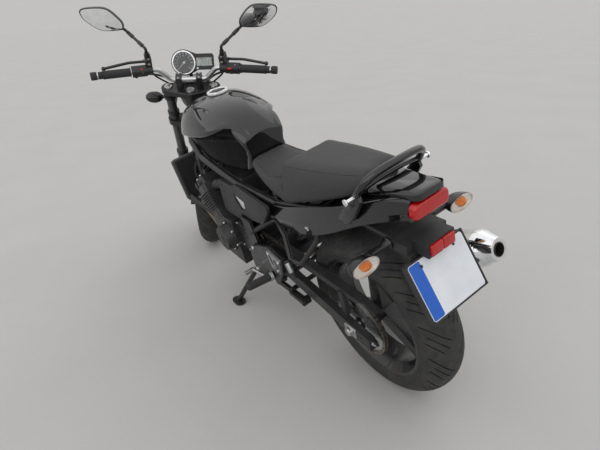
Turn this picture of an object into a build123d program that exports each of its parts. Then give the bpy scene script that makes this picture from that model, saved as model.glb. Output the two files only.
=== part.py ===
"""Standard motorcycle, parked on its side stand with the bars turned to the right.

Millimetres. The machine is modelled upright in its own frame: X forward from the middle of
the wheelbase, Y to the rider's left, Z up from the road. What steers is modelled about the
steering axis, which is its Z, and then takes the rake. At the end everything leans onto the
side stand, and the origin goes to the bottom centre of the whole.
"""

import os
from math import atan2, cos, degrees, pi, radians, sin, sqrt, tan

from build123d import *

# Stance
wheelbase = 1470
rake = 25.2  # steering axis, back from upright
trail = 106
lean = 11  # onto the side stand, to the left
steer = -31  # bars turned to the right
steer_stop = 31  # either way from straight ahead

# Wheels: 17 inch rims, 120/70 in front, 160/60 behind
rim_radius = 216
rim_lip = 12
rim_lip_height = 9
rim_wall = 14
front_tyre_radius = 300
front_tyre_width = 120
front_crown = 66  # radius of the tread across the tyre
front_rim_width = 100
rear_tyre_radius = 312
rear_tyre_width = 160
rear_crown = 92
rear_rim_width = 138
spokes = 3
disc_thickness = 5
disc_band = 34
front_disc_radius = 155
front_disc_y = 64
rear_disc_radius = 112
rear_disc_y = 92
rear_caliper_angle = 52  # above level, ahead of the axle
rear_caliper_half = 24
axle_radius = 10
hub_radius = 34
front_hub_half = 52
rear_hub_half = 70
front_spoke_half = 17
rear_spoke_half = 22

# Chain and sprockets
chain_pitch = 15.875
chain_y = 98
chain_width = 17
chain_height = 15
sprocket_teeth = 45
engine_sprocket_teeth = 16
sprocket_thickness = 7
engine_sprocket = (-84, 388)

# Swingarm, run on a bolt between the frame's pivot plates
pivot_x = -170
pivot_z = 395
pivot_bolt_radius = 9
pivot_radius = 20
arm_y = 130
arm_width = 26
arm_height = 58
arm_end_height = 48
brace_x = -292
bobbin_x = -782
bobbin_z = 306
bobbin_radius = 4
bobbin_depth = 18

# Fork, in the steering frame: X forward, Z up along the steering axis
fork_y = 102
fork_tube_radius = 21.5
fork_slider_radius = 28
slider_top = 660
lower_yoke_z = 838
top_yoke_z = 1020
yoke_thickness = 26
yoke_wall = 10
fork_top = 1048
stem_radius = 16
head_radius = 30
caliper_angle = 40  # above level, behind the axle
caliper_half_width = 28

# Handlebar, in the steering frame
bar_radius = 11.1
bar_x = 18
bar_z = 1092
bar_clamp_y = 45
bar_bend = (12, 128, 1152)  # where the tube has risen and turned outwards
bar_end = (-52, 378, 1172)
grip_radius = 17

# Lengths along the outer run of the bar, from its bend
switch_start = 44
switch_end = 106
grip_start = 110
grip_end = 224
weight_end = 272

# Mirrors
mirror_centre = (112, 323, 1330)
mirror_outline = [(-80, 46), (34, 47), (80, -18), (75, -50), (-22, -50), (-77, 2)]
mirror_depth = 30
mirror_corner = 15
mirror_edge = 4

wiring_radius = 4.5
hose_radius = 4
hose_block_top = 866  # the hoses end on a block on the lower yoke

# Instruments, lamp and front indicators, in the steering frame
dial_centre = (100, 22, 1122)
dial_radius = 52
dial_tilt = 33  # face up from the steering frame's rear
lcd_y = -69
lcd_size = (82, 62)
pod_depth = 52
headlight_centre = (150, 0, 900)
headlight_radius = 92
front_indicator = (100, 190, 940)
indicator_radius = 27
indicator_length = 74
front_guard_gap = 14
guard_thickness = 3
guard_front = 75  # degrees from the steering axis, forwards and back
guard_back = 48

# Engine, a transverse four
case_outline = [
    (206, 456), (214, 300), (150, 238), (-96, 238), (-130, 290), (-130, 432), (-60, 474), (40, 470),
]
crank_half_width = 165
gearbox_left = 78  # the gearbox is narrower, for the chain and the frame's plates
gearbox_right = 138
gearbox_front = -4
sump_outline = [(150, 240), (136, 178), (-30, 178), (-60, 240)]
sump_half_width = 86
cylinder_foot = (118, 425)
cylinder_tilt = 32  # forward from upright
cylinder_height = 105
cylinder_depth = 112
head_height = 78
cam_cover_height = 38
top_half_width = 178
fin_count = 9
fin_pitch = 11
fin_thickness = 4
fin_reach = 9
alternator = (62, 372, 64)  # X, Z and radius of the round covers
clutch = (12, 350, 86)
cover_depth = 40
cover_outline = [(-4.3, 468), (-4.3, 330), (-126, 322), (-133, 400), (-108, 460)]
airbox_size = (190, 190, 92)
airbox_centre = (20, 0, 618)
pipe_radius = 19
pipe_route = [  # each header's Y where it leaves, comes down and runs under
    (150, 112, 60), (52, 40, 20), (-52, -40, -20), (-150, -112, -60),
]
radiator_foot = (400, 462)
radiator_height = 205
radiator_tilt = 9
radiator_half_width = 192
radiator_depth = 34
radiator_lugs = (40, 178)  # up the core from its foot

# Frame
rail_radius = 17
rail_y = 118
down_y = 112
down_knee = (358, 92, 650)  # the down tubes pass here and here
down_low = (328, down_y, 470)
plate_y = 152
pivot_plate_thickness = 12
pivot_plate = [
    (-118, 538), (-124, 430), (-92, 330), (-92, 250), (-196, 250), (-212, 330), (-208, 450),
    (-188, 538),
]
rear_rail_y = 92
tail_rail_y = 66
pillion_loop = [
    (-330, 103, 574), (-400, 122, 540), (-470, 158, 486), (-540, 156, 500), (-586, 100, 588),
    (-604, 86, 696),
]
mount_front = (238, down_y, 392)  # engine bolts
mount_rear = (-114, 262)
mount_radius = 7
shock_top = (-150, 600)
shock_tube_radius = 12
cradle_tube = (-164, 282)
cradle_tube_radius = 15
lug_y = 92  # carries the centre stand
lug_radius = 19

# Exhaust silencer, on the right
silencer_start = (-470, -209, 350)
silencer_end = (-1010, -244, 537)
silencer_radius = 56
outlet_radius = 22

# Bodywork; the tank is given by stations along X
seat_seat_z = 692  # where the seat rests on the seat rails
tank_stations = [  # x, then half width and height of base, waist, crease and shoulder, top
    (325, (60, 771), (76, 806), (88, 820), (60, 886), 904),
    (235, (104, 735.8), (132, 802), (156, 826), (108, 920), 946),
    (100, (116, 716), (124, 812), (166, 844), (112, 942), 970),
    (-30, (108, 708), (106, 826), (152, 864), (102, 934), 962),
    (-140, (96, 718), (88, 832), (114, 872), (80, 908), 929),
    (-212, (84, 742), (76, 796), (84, 824), (60, 854), 868),
]
waist_corner = 14
crease_corner = 7
shoulder_corner = 26
cap_x = 88
cap_boss_radius = 47
cap_radius = 44
cap_thickness = 7
cap_top = 979
cap_pin = 2  # radius of the hinge pin
cap_knuckle = 4
rider_stations = [  # x, half width, height of base and of top
    (-214, 88, 750, 788),
    (-340, 114, 712, 770),
    (-486, 122, seat_seat_z, 800),
]
pillion_stations = [
    (-470, 120, seat_seat_z, 842),
    (-640, 112, 752, 864),
    (-838, 76, 826, 886),
]
panel_outline = [
    (23, 665), (-95, 666), (-142, 686), (-387, 660), (-296, 562), (-205, 546), (-112, 546),
    (-98, 503), (60, 503), (42, 590),
]
panel_window = [(-91, 632), (-178, 619), (-168, 580), (-128, 566), (-104, 590)]
panel_thickness = 12
tail_stations = [  # x, half width, height of base and of top
    (-332, 125, 574, 650),
    (-460, 127, 576, 680),
    (-620, 121, 622, 733),
    (-770, 106, 690, 785),
    (-900, 88, 752, 838),
    (-984, 66, 790, 850),
]
cowl_wall = 4
seat_opening = [(-300, 113), (-620, 107), (-842, 84)]
tail_lamp_size = (124, 46)
tail_lamp_at = (-984, 820)
grab_section = (30, 15)
mudguard_outline = [
    (-470, 655), (-600, 695.7), (-760, 724), (-900, 722), (-966, 706), (-1002, 640), (-1044, 560),
]
mudguard_half_width = 70
mudguard_wall = 5
plate_size = (200, 160)  # number plate, across and up
plate_centre = (-1034, 0, 612)
plate_tilt = 28.7  # face turned up from upright
reflector_size = (88, 34)
reflector_at = (-1022, 712)
rear_indicator = (-944, 184, 707)
rear_indicator_size = (74, 54)
indicator_block = 74

# Footrests
hanger_y = (166, 178)
hanger_outline = [
    (-176, 424), (-252, 462), (-340, 494), (-432, 472), (-412, 404), (-352, 326), (-306, 322),
    (-196, 372),
]
heel_guard_outline = [(-330, 484), (-424, 470), (-408, 398), (-344, 404)]
heel_guard_slots = [(-358, 446), (-390, 440)]
peg_at = (-318, 350)
peg_end = (-300, 292)  # X and Y
peg_radius = 14

# Stands; the side stand turns about its tilted pivot from the road up to its folded reach
side_stand_pivot = (-80, 142, 232)
side_stand_foot = (30, 252)  # X and Y; it reaches down to the road
side_stand_fold = (-0.955, 0.27, -0.06)
side_stand_radius = 11
stand_pad = 9
side_stand_pin = 7
side_stand_eye = 19
centre_stand_pivot = (-200, 215)
centre_stand_shaft = 10
centre_stand_y = 119
centre_stand_length = 245
centre_stand_rise = 10  # degrees above level when folded
centre_stand_radius = 12

clear = 0.3  # between pieces that nearly touch

# Worked out from the stance
front_axle_x = wheelbase / 2
rear_axle_x = -wheelbase / 2
steer_foot_x = front_axle_x + trail
fork_offset = front_tyre_radius * sin(radians(rake)) - trail * cos(radians(rake))
axle_z = front_tyre_radius * cos(radians(rake)) + trail * sin(radians(rake))
steering_frame = Plane(
    origin=(steer_foot_x, 0, 0),
    x_dir=(cos(radians(rake)), 0, sin(radians(rake))),
    z_dir=(-sin(radians(rake)), 0, cos(radians(rake))),
)

radiator_core = Plane(
    origin=(radiator_foot[0], 0, radiator_foot[1]), x_dir=(0, 1, 0),
    z_dir=(cos(radians(radiator_tilt)), 0, -sin(radians(radiator_tilt))),
)

panel_y = rail_y + rail_radius + clear  # side panels lie against the rails
cap_hinge = (cap_x + cap_boss_radius + cap_knuckle, 0, cap_top - 3)

sprocket_radius = chain_pitch / 2 / sin(pi / sprocket_teeth)
engine_sprocket_radius = chain_pitch / 2 / sin(pi / engine_sprocket_teeth)

pieces = {}  # chassis and rear wheel, in the machine's own frame
steered = {}  # fork, bars and front wheel, in the steering frame


def rod(points, radius, bend=None):
    """A round bar along straight runs, with a bend between each two."""
    with BuildPart() as bar:
        with BuildLine() as path:
            if bend:
                FilletPolyline(*points, radius=bend)
            else:
                Line(*points)
        with BuildSketch(Plane(origin=path.line @ 0, z_dir=path.line % 0)):
            Circle(radius)
        sweep()
    return bar.part


def plate(outline, y_from, y_to, corner=None):
    """An upright plate along the machine: its side outline, from one Y to another."""
    with BuildPart() as sheet:
        with BuildSketch(Plane.XZ.offset(-y_from)) as side:
            with BuildLine():
                Polyline(*outline, close=True)
            make_face()
            if corner:
                fillet(side.vertices(), corner)
        extrude(amount=-(y_to - y_from))
    return sheet.part


def washer(y, thickness, outer, inner=0, x=0, z=0):
    """A round plate or ring across an axle, centred on y."""
    with BuildPart() as disc:
        with BuildSketch(Plane.XZ.offset(thickness / 2 - y)):
            with Locations((x, z)):
                Circle(outer)
                if inner:
                    Circle(inner, mode=Mode.SUBTRACT)
        extrude(amount=-thickness)
    return disc.part


def lofted(stations, outline, corner):
    """A body lofted through one rounded outline for each station along X."""
    with BuildPart() as form:
        for x, *sizes in stations:
            with BuildSketch(Plane.YZ.offset(x)) as section:
                with BuildLine():
                    Polyline(*outline(*sizes), close=True)
                make_face()
                fillet(section.vertices(), corner)
        loft()
    return form.part


def pair(part):
    """The piece and its mirror image on the other side of the machine."""
    with BuildPart() as both:
        add(part)
        mirror(about=Plane.XZ)
    return both.part


def tyre(radius, width, crown, rim_width):
    """Ring with a round crown and sidewalls that come in to the rim, about Y."""
    shoulder = radius - crown + sqrt(crown**2 - (width / 2) ** 2)
    bead = rim_width / 2 - rim_lip
    seat = rim_radius + clear
    lip = rim_radius + rim_lip_height + 1
    belly = (width * 0.49, (shoulder + lip) / 2)
    with BuildPart() as ring:
        with BuildSketch(Plane.YZ):
            with BuildLine():
                ThreePointArc((-width / 2, shoulder), (0, radius), (width / 2, shoulder))
                ThreePointArc((width / 2, shoulder), belly, (bead, lip))
                Polyline((bead, lip), (bead, seat), (-bead, seat), (-bead, lip))
                ThreePointArc((-bead, lip), (-belly[0], belly[1]), (-width / 2, shoulder))
            make_face()
        revolve(axis=Axis.Y)
    return ring.part


def cast_wheel(width, hub_radius, hub_half, spoke_half):
    """Cast wheel about Y: well between two lips, spokes, and a hub bored for the axle."""
    half = width / 2
    bead = half - rim_lip + clear
    well = rim_radius - rim_wall
    lip = rim_radius + rim_lip_height
    with BuildSketch() as arm:
        with BuildLine():
            Polyline((0, -30), (well - 6, -17), (well - 6, 17), (0, 30), close=True)
        make_face()
    with BuildPart() as wheel:
        with BuildSketch(Plane.YZ):
            with BuildLine():
                Polyline(
                    (-half, lip), (-bead - 1, lip), (-bead, rim_radius),
                    (bead, rim_radius), (bead + 1, lip), (half, lip),
                    (half, rim_radius - 2), (half * 0.5, well - 8), (-half * 0.5, well - 8),
                    (-half, rim_radius - 2),
                    close=True,
                )
            make_face()
            with Locations((0, hub_radius / 2)):
                Rectangle(2 * hub_half, hub_radius)
        revolve(axis=Axis.Y)
        with BuildSketch(Plane.XZ):
            with PolarLocations(0, spokes, start_angle=90):
                add(arm.sketch)
        extrude(amount=spoke_half, both=True)
        with Locations(Rotation(X=90)):
            Cylinder(axle_radius + 0.05, 2 * hub_half + 2, mode=Mode.SUBTRACT)
    return wheel.part


# Where everything stands: turn the bars, lean onto the side stand, set both tyres on the road


def lowest(axle, axle_way, radius, crown):
    """Height of a leaning tyre's lowest point."""
    return axle.Z - (radius - crown) * sqrt(1 - axle_way.Z**2) - crown


steering_pose = steering_frame.location * Rotation(Z=steer)
front_centre = steering_pose * Location((fork_offset, 0, axle_z))
front_along = steering_pose * Location((fork_offset, 1, axle_z))
pitch = lift = 0
for _ in range(5):
    stance = Location((0, 0, lift)) * Rotation(Y=pitch) * Rotation(X=-lean)
    drops = []
    for centre, along_axle, radius, crown in (
        (front_centre, front_along, front_tyre_radius, front_crown),
        (
            Location((rear_axle_x, 0, rear_tyre_radius)),
            Location((rear_axle_x, 1, rear_tyre_radius)), rear_tyre_radius, rear_crown,
        ),
    ):
        axle = (stance * centre).position
        axle_way = (stance * along_axle).position - axle
        drops.append(lowest(axle, axle_way, radius, crown))
    pitch += degrees(atan2(drops[0] - drops[1], wheelbase))
    lift -= drops[1] + (drops[0] - drops[1]) * 0.5
road = Plane(stance.inverse())

# The side stand's foot on the road, and its pivot: square to the leg when down and when folded
foot_x, foot_y = side_stand_foot
road_way = road.z_dir
drop = (foot_x - road.origin.X) * road_way.X + (foot_y - road.origin.Y) * road_way.Y
stand_tip = Vector(foot_x, foot_y, road.origin.Z - drop / road_way.Z) + road_way * stand_pad
leg_down = stand_tip - Vector(*side_stand_pivot)
stand_axis = leg_down.cross(Vector(*side_stand_fold)).normalized()
stand_pivot_frame = Plane(origin=side_stand_pivot, x_dir=leg_down, z_dir=stand_axis)


# Rear wheel, about its own axle

with BuildPart() as rear_disc:
    with BuildSketch(Plane.XZ.offset(rear_disc_y - disc_thickness / 2)):
        Circle(rear_disc_radius)
        Circle(rear_disc_radius - disc_band, mode=Mode.SUBTRACT)
        Circle(hub_radius + 14)
        with PolarLocations((hub_radius + rear_disc_radius - disc_band / 2) / 2, 5):
            Rectangle(rear_disc_radius - disc_band - hub_radius + 8, 18)
        Circle(axle_radius + 14, mode=Mode.SUBTRACT)
    extrude(amount=disc_thickness)
    carrier = rear_disc_y - disc_thickness / 2 - rear_hub_half - clear
    add(washer(-rear_hub_half - clear - carrier / 2, carrier, hub_radius, axle_radius + 14))

with BuildPart() as rear_sprocket:
    with BuildSketch(Plane.XZ.offset(-chain_y - sprocket_thickness / 2)):
        Circle(sprocket_radius - 1)
        with PolarLocations(sprocket_radius, sprocket_teeth, start_angle=180 / sprocket_teeth):
            Rectangle(chain_height * 0.35, chain_pitch * 0.36)
        with PolarLocations(sprocket_radius * 0.66, 5):
            Circle(sprocket_radius * 0.18, mode=Mode.SUBTRACT)
        Circle(axle_radius + 14, mode=Mode.SUBTRACT)
    extrude(amount=sprocket_thickness)
    carrier = chain_y - sprocket_thickness / 2 - rear_hub_half - clear
    add(washer(rear_hub_half + clear + carrier / 2, carrier, hub_radius + 12, axle_radius + 14))

rear_axle_at = Location((rear_axle_x, 0, rear_tyre_radius))
pieces["rear_tyre"] = rear_axle_at * tyre(
    rear_tyre_radius, rear_tyre_width, rear_crown, rear_rim_width
)
pieces["rear_rim"] = rear_axle_at * cast_wheel(
    rear_rim_width, hub_radius, rear_hub_half, rear_spoke_half
)
pieces["rear_disc"] = rear_axle_at * rear_disc.part
pieces["rear_sprocket"] = rear_axle_at * rear_sprocket.part

# Front wheel, about its own axle

with BuildPart() as front_discs:
    with BuildSketch(Plane.XZ.offset(-front_disc_y - disc_thickness / 2)):
        Circle(front_disc_radius)
        Circle(front_disc_radius - disc_band, mode=Mode.SUBTRACT)
        Circle(hub_radius + 22)
        with PolarLocations((hub_radius + front_disc_radius - disc_band / 2) / 2 + 8, 8):
            Rectangle(front_disc_radius - disc_band - hub_radius - 6, 14)
        Circle(axle_radius + 14, mode=Mode.SUBTRACT)
    extrude(amount=disc_thickness)
    carrier = front_disc_y - disc_thickness / 2 - front_hub_half - clear
    add(washer(front_hub_half + clear + carrier / 2, carrier, hub_radius, axle_radius + 14))
    mirror(about=Plane.XZ)

front_axle_at = Location((fork_offset, 0, axle_z))
steered["front_tyre"] = front_axle_at * tyre(
    front_tyre_radius, front_tyre_width, front_crown, front_rim_width
)
steered["front_rim"] = front_axle_at * cast_wheel(
    front_rim_width, hub_radius, front_hub_half, front_spoke_half
)
steered["front_discs"] = front_axle_at * front_discs.part

# Fork, in the steering frame

fork_leg = (fork_offset, fork_y)
caliper_radius = front_disc_radius - disc_band * 0.65
caliper_reach = caliper_radius * cos(radians(caliper_angle))
caliper_rise = caliper_radius * sin(radians(caliper_angle))
both_legs = [fork_leg, (fork_offset, -fork_y)]

with BuildPart() as front_axle:
    end = fork_y + fork_slider_radius
    add(washer(0, 2 * end + 12, axle_radius, 0, fork_offset, axle_z))
    add(washer(end + 4, 8, axle_radius + 6, 0, fork_offset, axle_z))

with BuildPart() as fork_tubes:
    with BuildSketch(Plane.XY.offset(slider_top - 60)):
        with Locations(*both_legs):
            Circle(fork_tube_radius)
    extrude(amount=fork_top - slider_top + 60)
    chamfer(fork_tubes.edges().group_by(Axis.Z)[-1], 3)

with BuildPart() as fork_sliders:
    with BuildSketch(Plane.XY.offset(axle_z - 34)):
        with Locations(fork_leg):
            Circle(fork_slider_radius - 5)
    with BuildSketch(Plane.XY.offset(axle_z + 100)):
        with Locations(fork_leg):
            Circle(fork_slider_radius)
    loft()
    with BuildSketch(Plane.XY.offset(axle_z + 100)):
        with Locations(fork_leg):
            Circle(fork_slider_radius)
    extrude(amount=slider_top - axle_z - 100)
    chamfer(fork_sliders.edges().group_by(Axis.Z)[-1], 4)
    # lugs behind the leg for the caliper
    lug_from = front_disc_y + caliper_half_width + clear
    for rise in (-26, 26):
        with Locations((
            fork_offset - caliper_reach / 2, (lug_from + fork_y + 6) / 2,
            axle_z + caliper_rise + rise,
        )):
            Box(caliper_reach, fork_y + 6 - lug_from, 20)
    with BuildSketch(Plane.XY.offset(slider_top - 60 - clear)):
        with Locations(fork_leg):
            Circle(fork_tube_radius + 0.05)
    extrude(amount=100, mode=Mode.SUBTRACT)
    with Locations(Location((fork_offset, fork_y, axle_z), (90, 0, 0))):
        Cylinder(axle_radius + 0.05, 3 * fork_slider_radius, mode=Mode.SUBTRACT)
    mirror(about=Plane.XZ)

with BuildPart() as front_calipers:
    disc_edge = front_disc_radius - caliper_radius
    seat_at = Location((fork_offset, front_disc_y, axle_z), (0, caliper_angle, 0))
    with Locations(seat_at * Location((-caliper_radius - 6, 0, 0))):
        Box(2 * disc_edge + 16, 2 * caliper_half_width, 92)
    fillet(front_calipers.edges().filter_by(Axis.Y), 10)
    with Locations(seat_at * Location((-caliper_radius + 60 - disc_edge - 5, 0, 0))):
        Box(120, disc_thickness + 10, 120, mode=Mode.SUBTRACT)
    mirror(about=Plane.XZ)

with BuildSketch() as yoke_outline:
    with Locations(*both_legs, (0, 0)):
        Circle(fork_tube_radius + yoke_wall)

with BuildPart() as lower_yoke:
    with BuildSketch(Plane.XY.offset(lower_yoke_z)):
        make_hull(yoke_outline.edges())
        with Locations(*both_legs):
            Circle(fork_tube_radius + 0.05, mode=Mode.SUBTRACT)
    extrude(amount=yoke_thickness + 6)
    chamfer(lower_yoke.faces().sort_by(Axis.Z)[0].outer_wire().edges(), 3)
    with BuildSketch(Plane.XY.offset(lower_yoke_z + yoke_thickness)):
        Circle(stem_radius)
    extrude(amount=top_yoke_z - lower_yoke_z + 4)
    edge = fork_offset + fork_tube_radius + yoke_wall
    with Locations((edge + 8, 0, hose_block_top - 9)):
        Box(22, 92, 18)

with BuildPart() as top_yoke:
    with BuildSketch(Plane.XY.offset(top_yoke_z)):
        make_hull(yoke_outline.edges())
        with Locations(*both_legs):
            Circle(fork_tube_radius + 0.05, mode=Mode.SUBTRACT)
        Circle(stem_radius + 0.05, mode=Mode.SUBTRACT)
    extrude(amount=yoke_thickness)
    chamfer(top_yoke.faces().sort_by(Axis.Z)[-1].outer_wire().edges(), 3)
    posts = [(bar_x, bar_clamp_y), (bar_x, -bar_clamp_y)]
    with BuildSketch(Plane.XY.offset(top_yoke_z + yoke_thickness - 1)):
        with Locations(*posts):
            Circle(15)
    extrude(amount=bar_z - top_yoke_z - yoke_thickness)
    for x, y in posts:
        with Locations((x, y, bar_z)):
            Box(46, 26, 34)
    with Locations(Location((bar_x, 0, bar_z), (90, 0, 0))):
        Cylinder(bar_radius + 0.05, 200, mode=Mode.SUBTRACT)

# Handlebar and what it carries; lengths run outwards along the bar from its bend

outwards = Vector(*bar_end) - Vector(*bar_bend)
bar_run = Plane(origin=bar_bend, x_dir=(1, 0, 0.1), z_dir=outwards)


def on_bar(ahead, up, along):
    """A point beside the outer run of the bar, whose plane has Y downwards."""
    point = bar_run.from_local_coords(Vector(ahead, -up, along))
    return (point.X, point.Y, point.Z)


with BuildPart() as handlebar:
    add(rod(
        [(bar_x, 0, bar_z), (bar_x, bar_clamp_y + 32, bar_z), bar_bend, bar_end], bar_radius, 36
    ))
    mirror(about=Plane.XZ)

with BuildPart() as grips:
    with BuildSketch(bar_run.offset(grip_start)):
        Circle(grip_radius)
        Circle(bar_radius + 0.05, mode=Mode.SUBTRACT)
    extrude(amount=grip_end - grip_start)
    with BuildSketch(bar_run.offset(outwards.length + clear)):
        Circle(grip_radius - 1)
    extrude(amount=weight_end - outwards.length)
    mirror(about=Plane.XZ)

with BuildPart() as switchgear:
    with BuildSketch(bar_run.offset(switch_start)):
        RectangleRounded(44, 38, 12)
        Circle(bar_radius + 0.05, mode=Mode.SUBTRACT)
    extrude(amount=switch_end - switch_start)
    # lever perch inboard of the switches, with the fluid reservoir above it
    with BuildSketch(bar_run.offset(switch_start - 26)):
        Circle(19)
        with Locations((34, -2)):
            Rectangle(60, 24)
        with Locations((22, -30)):
            RectangleRounded(42, 34, 5)
        Circle(bar_radius + 0.05, mode=Mode.SUBTRACT)
    extrude(amount=25)
    mirror(about=Plane.XZ)

with BuildPart() as levers:
    lever_pivot = on_bar(56, 2, switch_start - 0.3)
    lever_knee = on_bar(60, 0, grip_start)
    lever_tip = on_bar(44, -4, grip_end - 8)
    add(rod([lever_pivot, lever_knee, lever_tip], 6, 90))
    with Locations(lever_tip):
        Sphere(9)
    mirror(about=Plane.XZ)

mirror_frame = Plane(origin=mirror_centre, x_dir=(-0.12, -1, 0.08), z_dir=(-1, 0.1, 0.05))


def mirror_face(depth, corner, shrink=0.0, share=1.0):
    """The mirror's outline, set back behind its glass, drawn in and made smaller."""
    with BuildSketch(mirror_frame.offset(-depth), mode=Mode.PRIVATE) as face:
        with BuildLine():
            Polyline(*[(x * share, y * share) for x, y in mirror_outline], close=True)
        make_face()
        fillet(face.vertices(), corner)
        if shrink:
            offset(amount=-shrink, mode=Mode.REPLACE)
    return face.sketch


with BuildPart() as mirrors:
    loft([mirror_face(0, mirror_corner), mirror_face(12, mirror_corner, share=0.97)])
    loft([
        mirror_face(12, mirror_corner, share=0.97),
        mirror_face(mirror_depth, mirror_corner * 0.7, share=0.66),
    ])
    extrude(mirror_face(3, mirror_corner, mirror_edge), amount=6, mode=Mode.SUBTRACT)
    arm_foot = on_bar(24, 48, switch_start - 14)
    arm_neck = on_bar(26, 92, switch_start - 10)
    back = mirror_frame.from_local_coords(Vector(44, -30, -mirror_depth / 2 - 3))
    below = mirror_frame.from_local_coords(Vector(74, -62, -mirror_depth / 2 - 6))
    add(rod([arm_foot, arm_neck, tuple(below), tuple(back)], 6.5, 10))
    mirror(about=Plane.XZ)

with BuildPart() as mirror_glass:
    extrude(mirror_face(3 - clear, mirror_corner, mirror_edge + clear), amount=2)
    mirror(about=Plane.XZ)

# Wiring from the switches to the lamp, and hoses from the levers to the lower yoke


def cord(points, radius):
    """A round cord on straight runs joined by arcs as large as the runs allow."""
    runs = [Vector(*b) - Vector(*a) for a, b in zip(points, points[1:])]
    bends = [
        0.45 * min(a.length, b.length) / tan(radians(a.get_angle(b) / 2))
        for a, b in zip(runs, runs[1:])
    ]
    print("cord radii", [round(bend) for bend in bends])
    with BuildPart() as tube:
        with BuildLine() as path:
            FilletPolyline(*points, radius=bends)
        with BuildSketch(Plane(origin=path.line @ 0, z_dir=path.line % 0)):
            Circle(radius)
        sweep()
    return tube.part


with BuildPart() as control_cables:
    add(cord(
        [on_bar(4, -23.9, 70), on_bar(8, -28, 22), (42, 122, 1098), (68, 92, 1062), (90, 62, 1014),
         (108, 38, 966), (130, 20, 926)],
        wiring_radius,
    ))
    add(cord(
        [on_bar(26, -20, 30), (42, 150, 1098), (60, 122, 1060), (78, 90, 1022), (82, 60, 974),
         (76, 34, 926), (76, 34, hose_block_top + clear)],
        hose_radius,
    ))
    mirror(about=Plane.XZ)

# Instruments: a round dial and a display in one housing, tilted to the rider

dial_frame = Plane(
    origin=dial_centre,
    x_dir=(0, -1, 0),
    z_dir=(-cos(radians(dial_tilt)), 0, sin(radians(dial_tilt))),
)

with BuildPart() as instruments:
    lcd_at = (dial_centre[1] - lcd_y, 2)
    with BuildSketch(dial_frame.offset(-pod_depth)):
        Circle(dial_radius - 6)
        with Locations(lcd_at):
            RectangleRounded(lcd_size[0], lcd_size[1], 12)
        with Locations((lcd_at[0] / 2, 0)):
            Rectangle(lcd_at[0], lcd_size[1])
    extrude(amount=pod_depth - 6)
    with BuildSketch(dial_frame.offset(-8)):
        Circle(dial_radius)
        with Locations(lcd_at):
            RectangleRounded(lcd_size[0] + 8, lcd_size[1] + 8, 12)
    extrude(amount=8)
    with BuildSketch(dial_frame):
        Circle(dial_radius - 5)
        with Locations(lcd_at):
            RectangleRounded(lcd_size[0] - 8, lcd_size[1] - 22, 5)
    extrude(amount=-3, mode=Mode.SUBTRACT)
    # bracket from the front edge of the top yoke
    edge = fork_offset + fork_tube_radius + yoke_wall + clear
    level = top_yoke_z + yoke_thickness / 2
    add(rod(
        [(edge, 0, level), (edge + 40, 0, level), (dial_centre[0] + 22, 0, dial_centre[2] - 36)],
        8, 14,
    ))

lamp_forward = Plane(
    origin=headlight_centre,
    x_dir=(0, -1, 0),
    z_dir=(cos(radians(rake)), 0, -sin(radians(rake))),
)

with BuildPart() as headlight:
    with BuildSketch(Plane(origin=lamp_forward.origin, x_dir=lamp_forward.x_dir,
                           z_dir=-lamp_forward.y_dir)):
        with BuildLine():
            Polyline(
                (0, -20), (headlight_radius * 0.45, -20), (headlight_radius * 0.85, 24),
                (headlight_radius, 84), (headlight_radius, 108), (headlight_radius - 6, 108),
                (headlight_radius - 8, 84), (0, 40), close=True,
            )
        make_face()
    revolve(axis=Axis(lamp_forward.origin, lamp_forward.z_dir))

with BuildPart() as headlight_lens:
    with BuildSketch(lamp_forward.offset(96)):
        Circle(headlight_radius - 7.2 - clear)
    extrude(amount=8)
    fillet(headlight_lens.edges().group_by(Axis.X)[-1], 3)

with BuildPart() as lamp_brackets:
    # ears clamped to the fork tubes, with the stalks of the front indicators
    ear_x = headlight_centre[0] + 52
    for z in (lower_yoke_z + yoke_thickness + 30, top_yoke_z - 34):
        with BuildSketch(Plane.XY.offset(z)):
            with Locations(fork_leg):
                Circle(fork_tube_radius + 6)
                Circle(fork_tube_radius + 0.05, mode=Mode.SUBTRACT)
        extrude(amount=18)
    add(plate(
        [(fork_offset + fork_tube_radius + 2, top_yoke_z - 34),
         (fork_offset + fork_tube_radius + 2, top_yoke_z - 16), (headlight_centre[0] - 40, top_yoke_z - 16),
         (ear_x, headlight_centre[2] + 6), (ear_x, headlight_centre[2] - 34),
         (ear_x - 36, headlight_centre[2] - 34),
         (fork_offset + fork_tube_radius + 2, lower_yoke_z + yoke_thickness + 30)],
        fork_y - 4.5, fork_y + 0.5,
    ))
    # bolts into the lamp's shell
    bolt_at = lamp_forward.from_local_coords(Vector(0, 0, 40))
    shell = headlight_radius * (0.85 + 0.15 * 16 / 60)
    with Locations(Location(
        (bolt_at.X, (shell + 2 + fork_y - 4) / 2, bolt_at.Z), (90, 0, 0)
    )):
        Cylinder(7, fork_y - 4 - shell - 2)
    add(rod(
        [(front_indicator[0], fork_y, front_indicator[2]),
         (front_indicator[0], front_indicator[1] - indicator_length / 2 - clear,
          front_indicator[2])],
        8,
    ))
    mirror(about=Plane.XZ)

with BuildPart() as front_indicators:
    with BuildSketch(Plane.XZ.offset(-front_indicator[1] + indicator_length / 2)):
        with Locations((front_indicator[0], front_indicator[2])):
            Circle(indicator_radius)
    extrude(amount=-indicator_length)
    fillet(front_indicators.edges(), 10)
    mirror(about=Plane.XZ)

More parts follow.
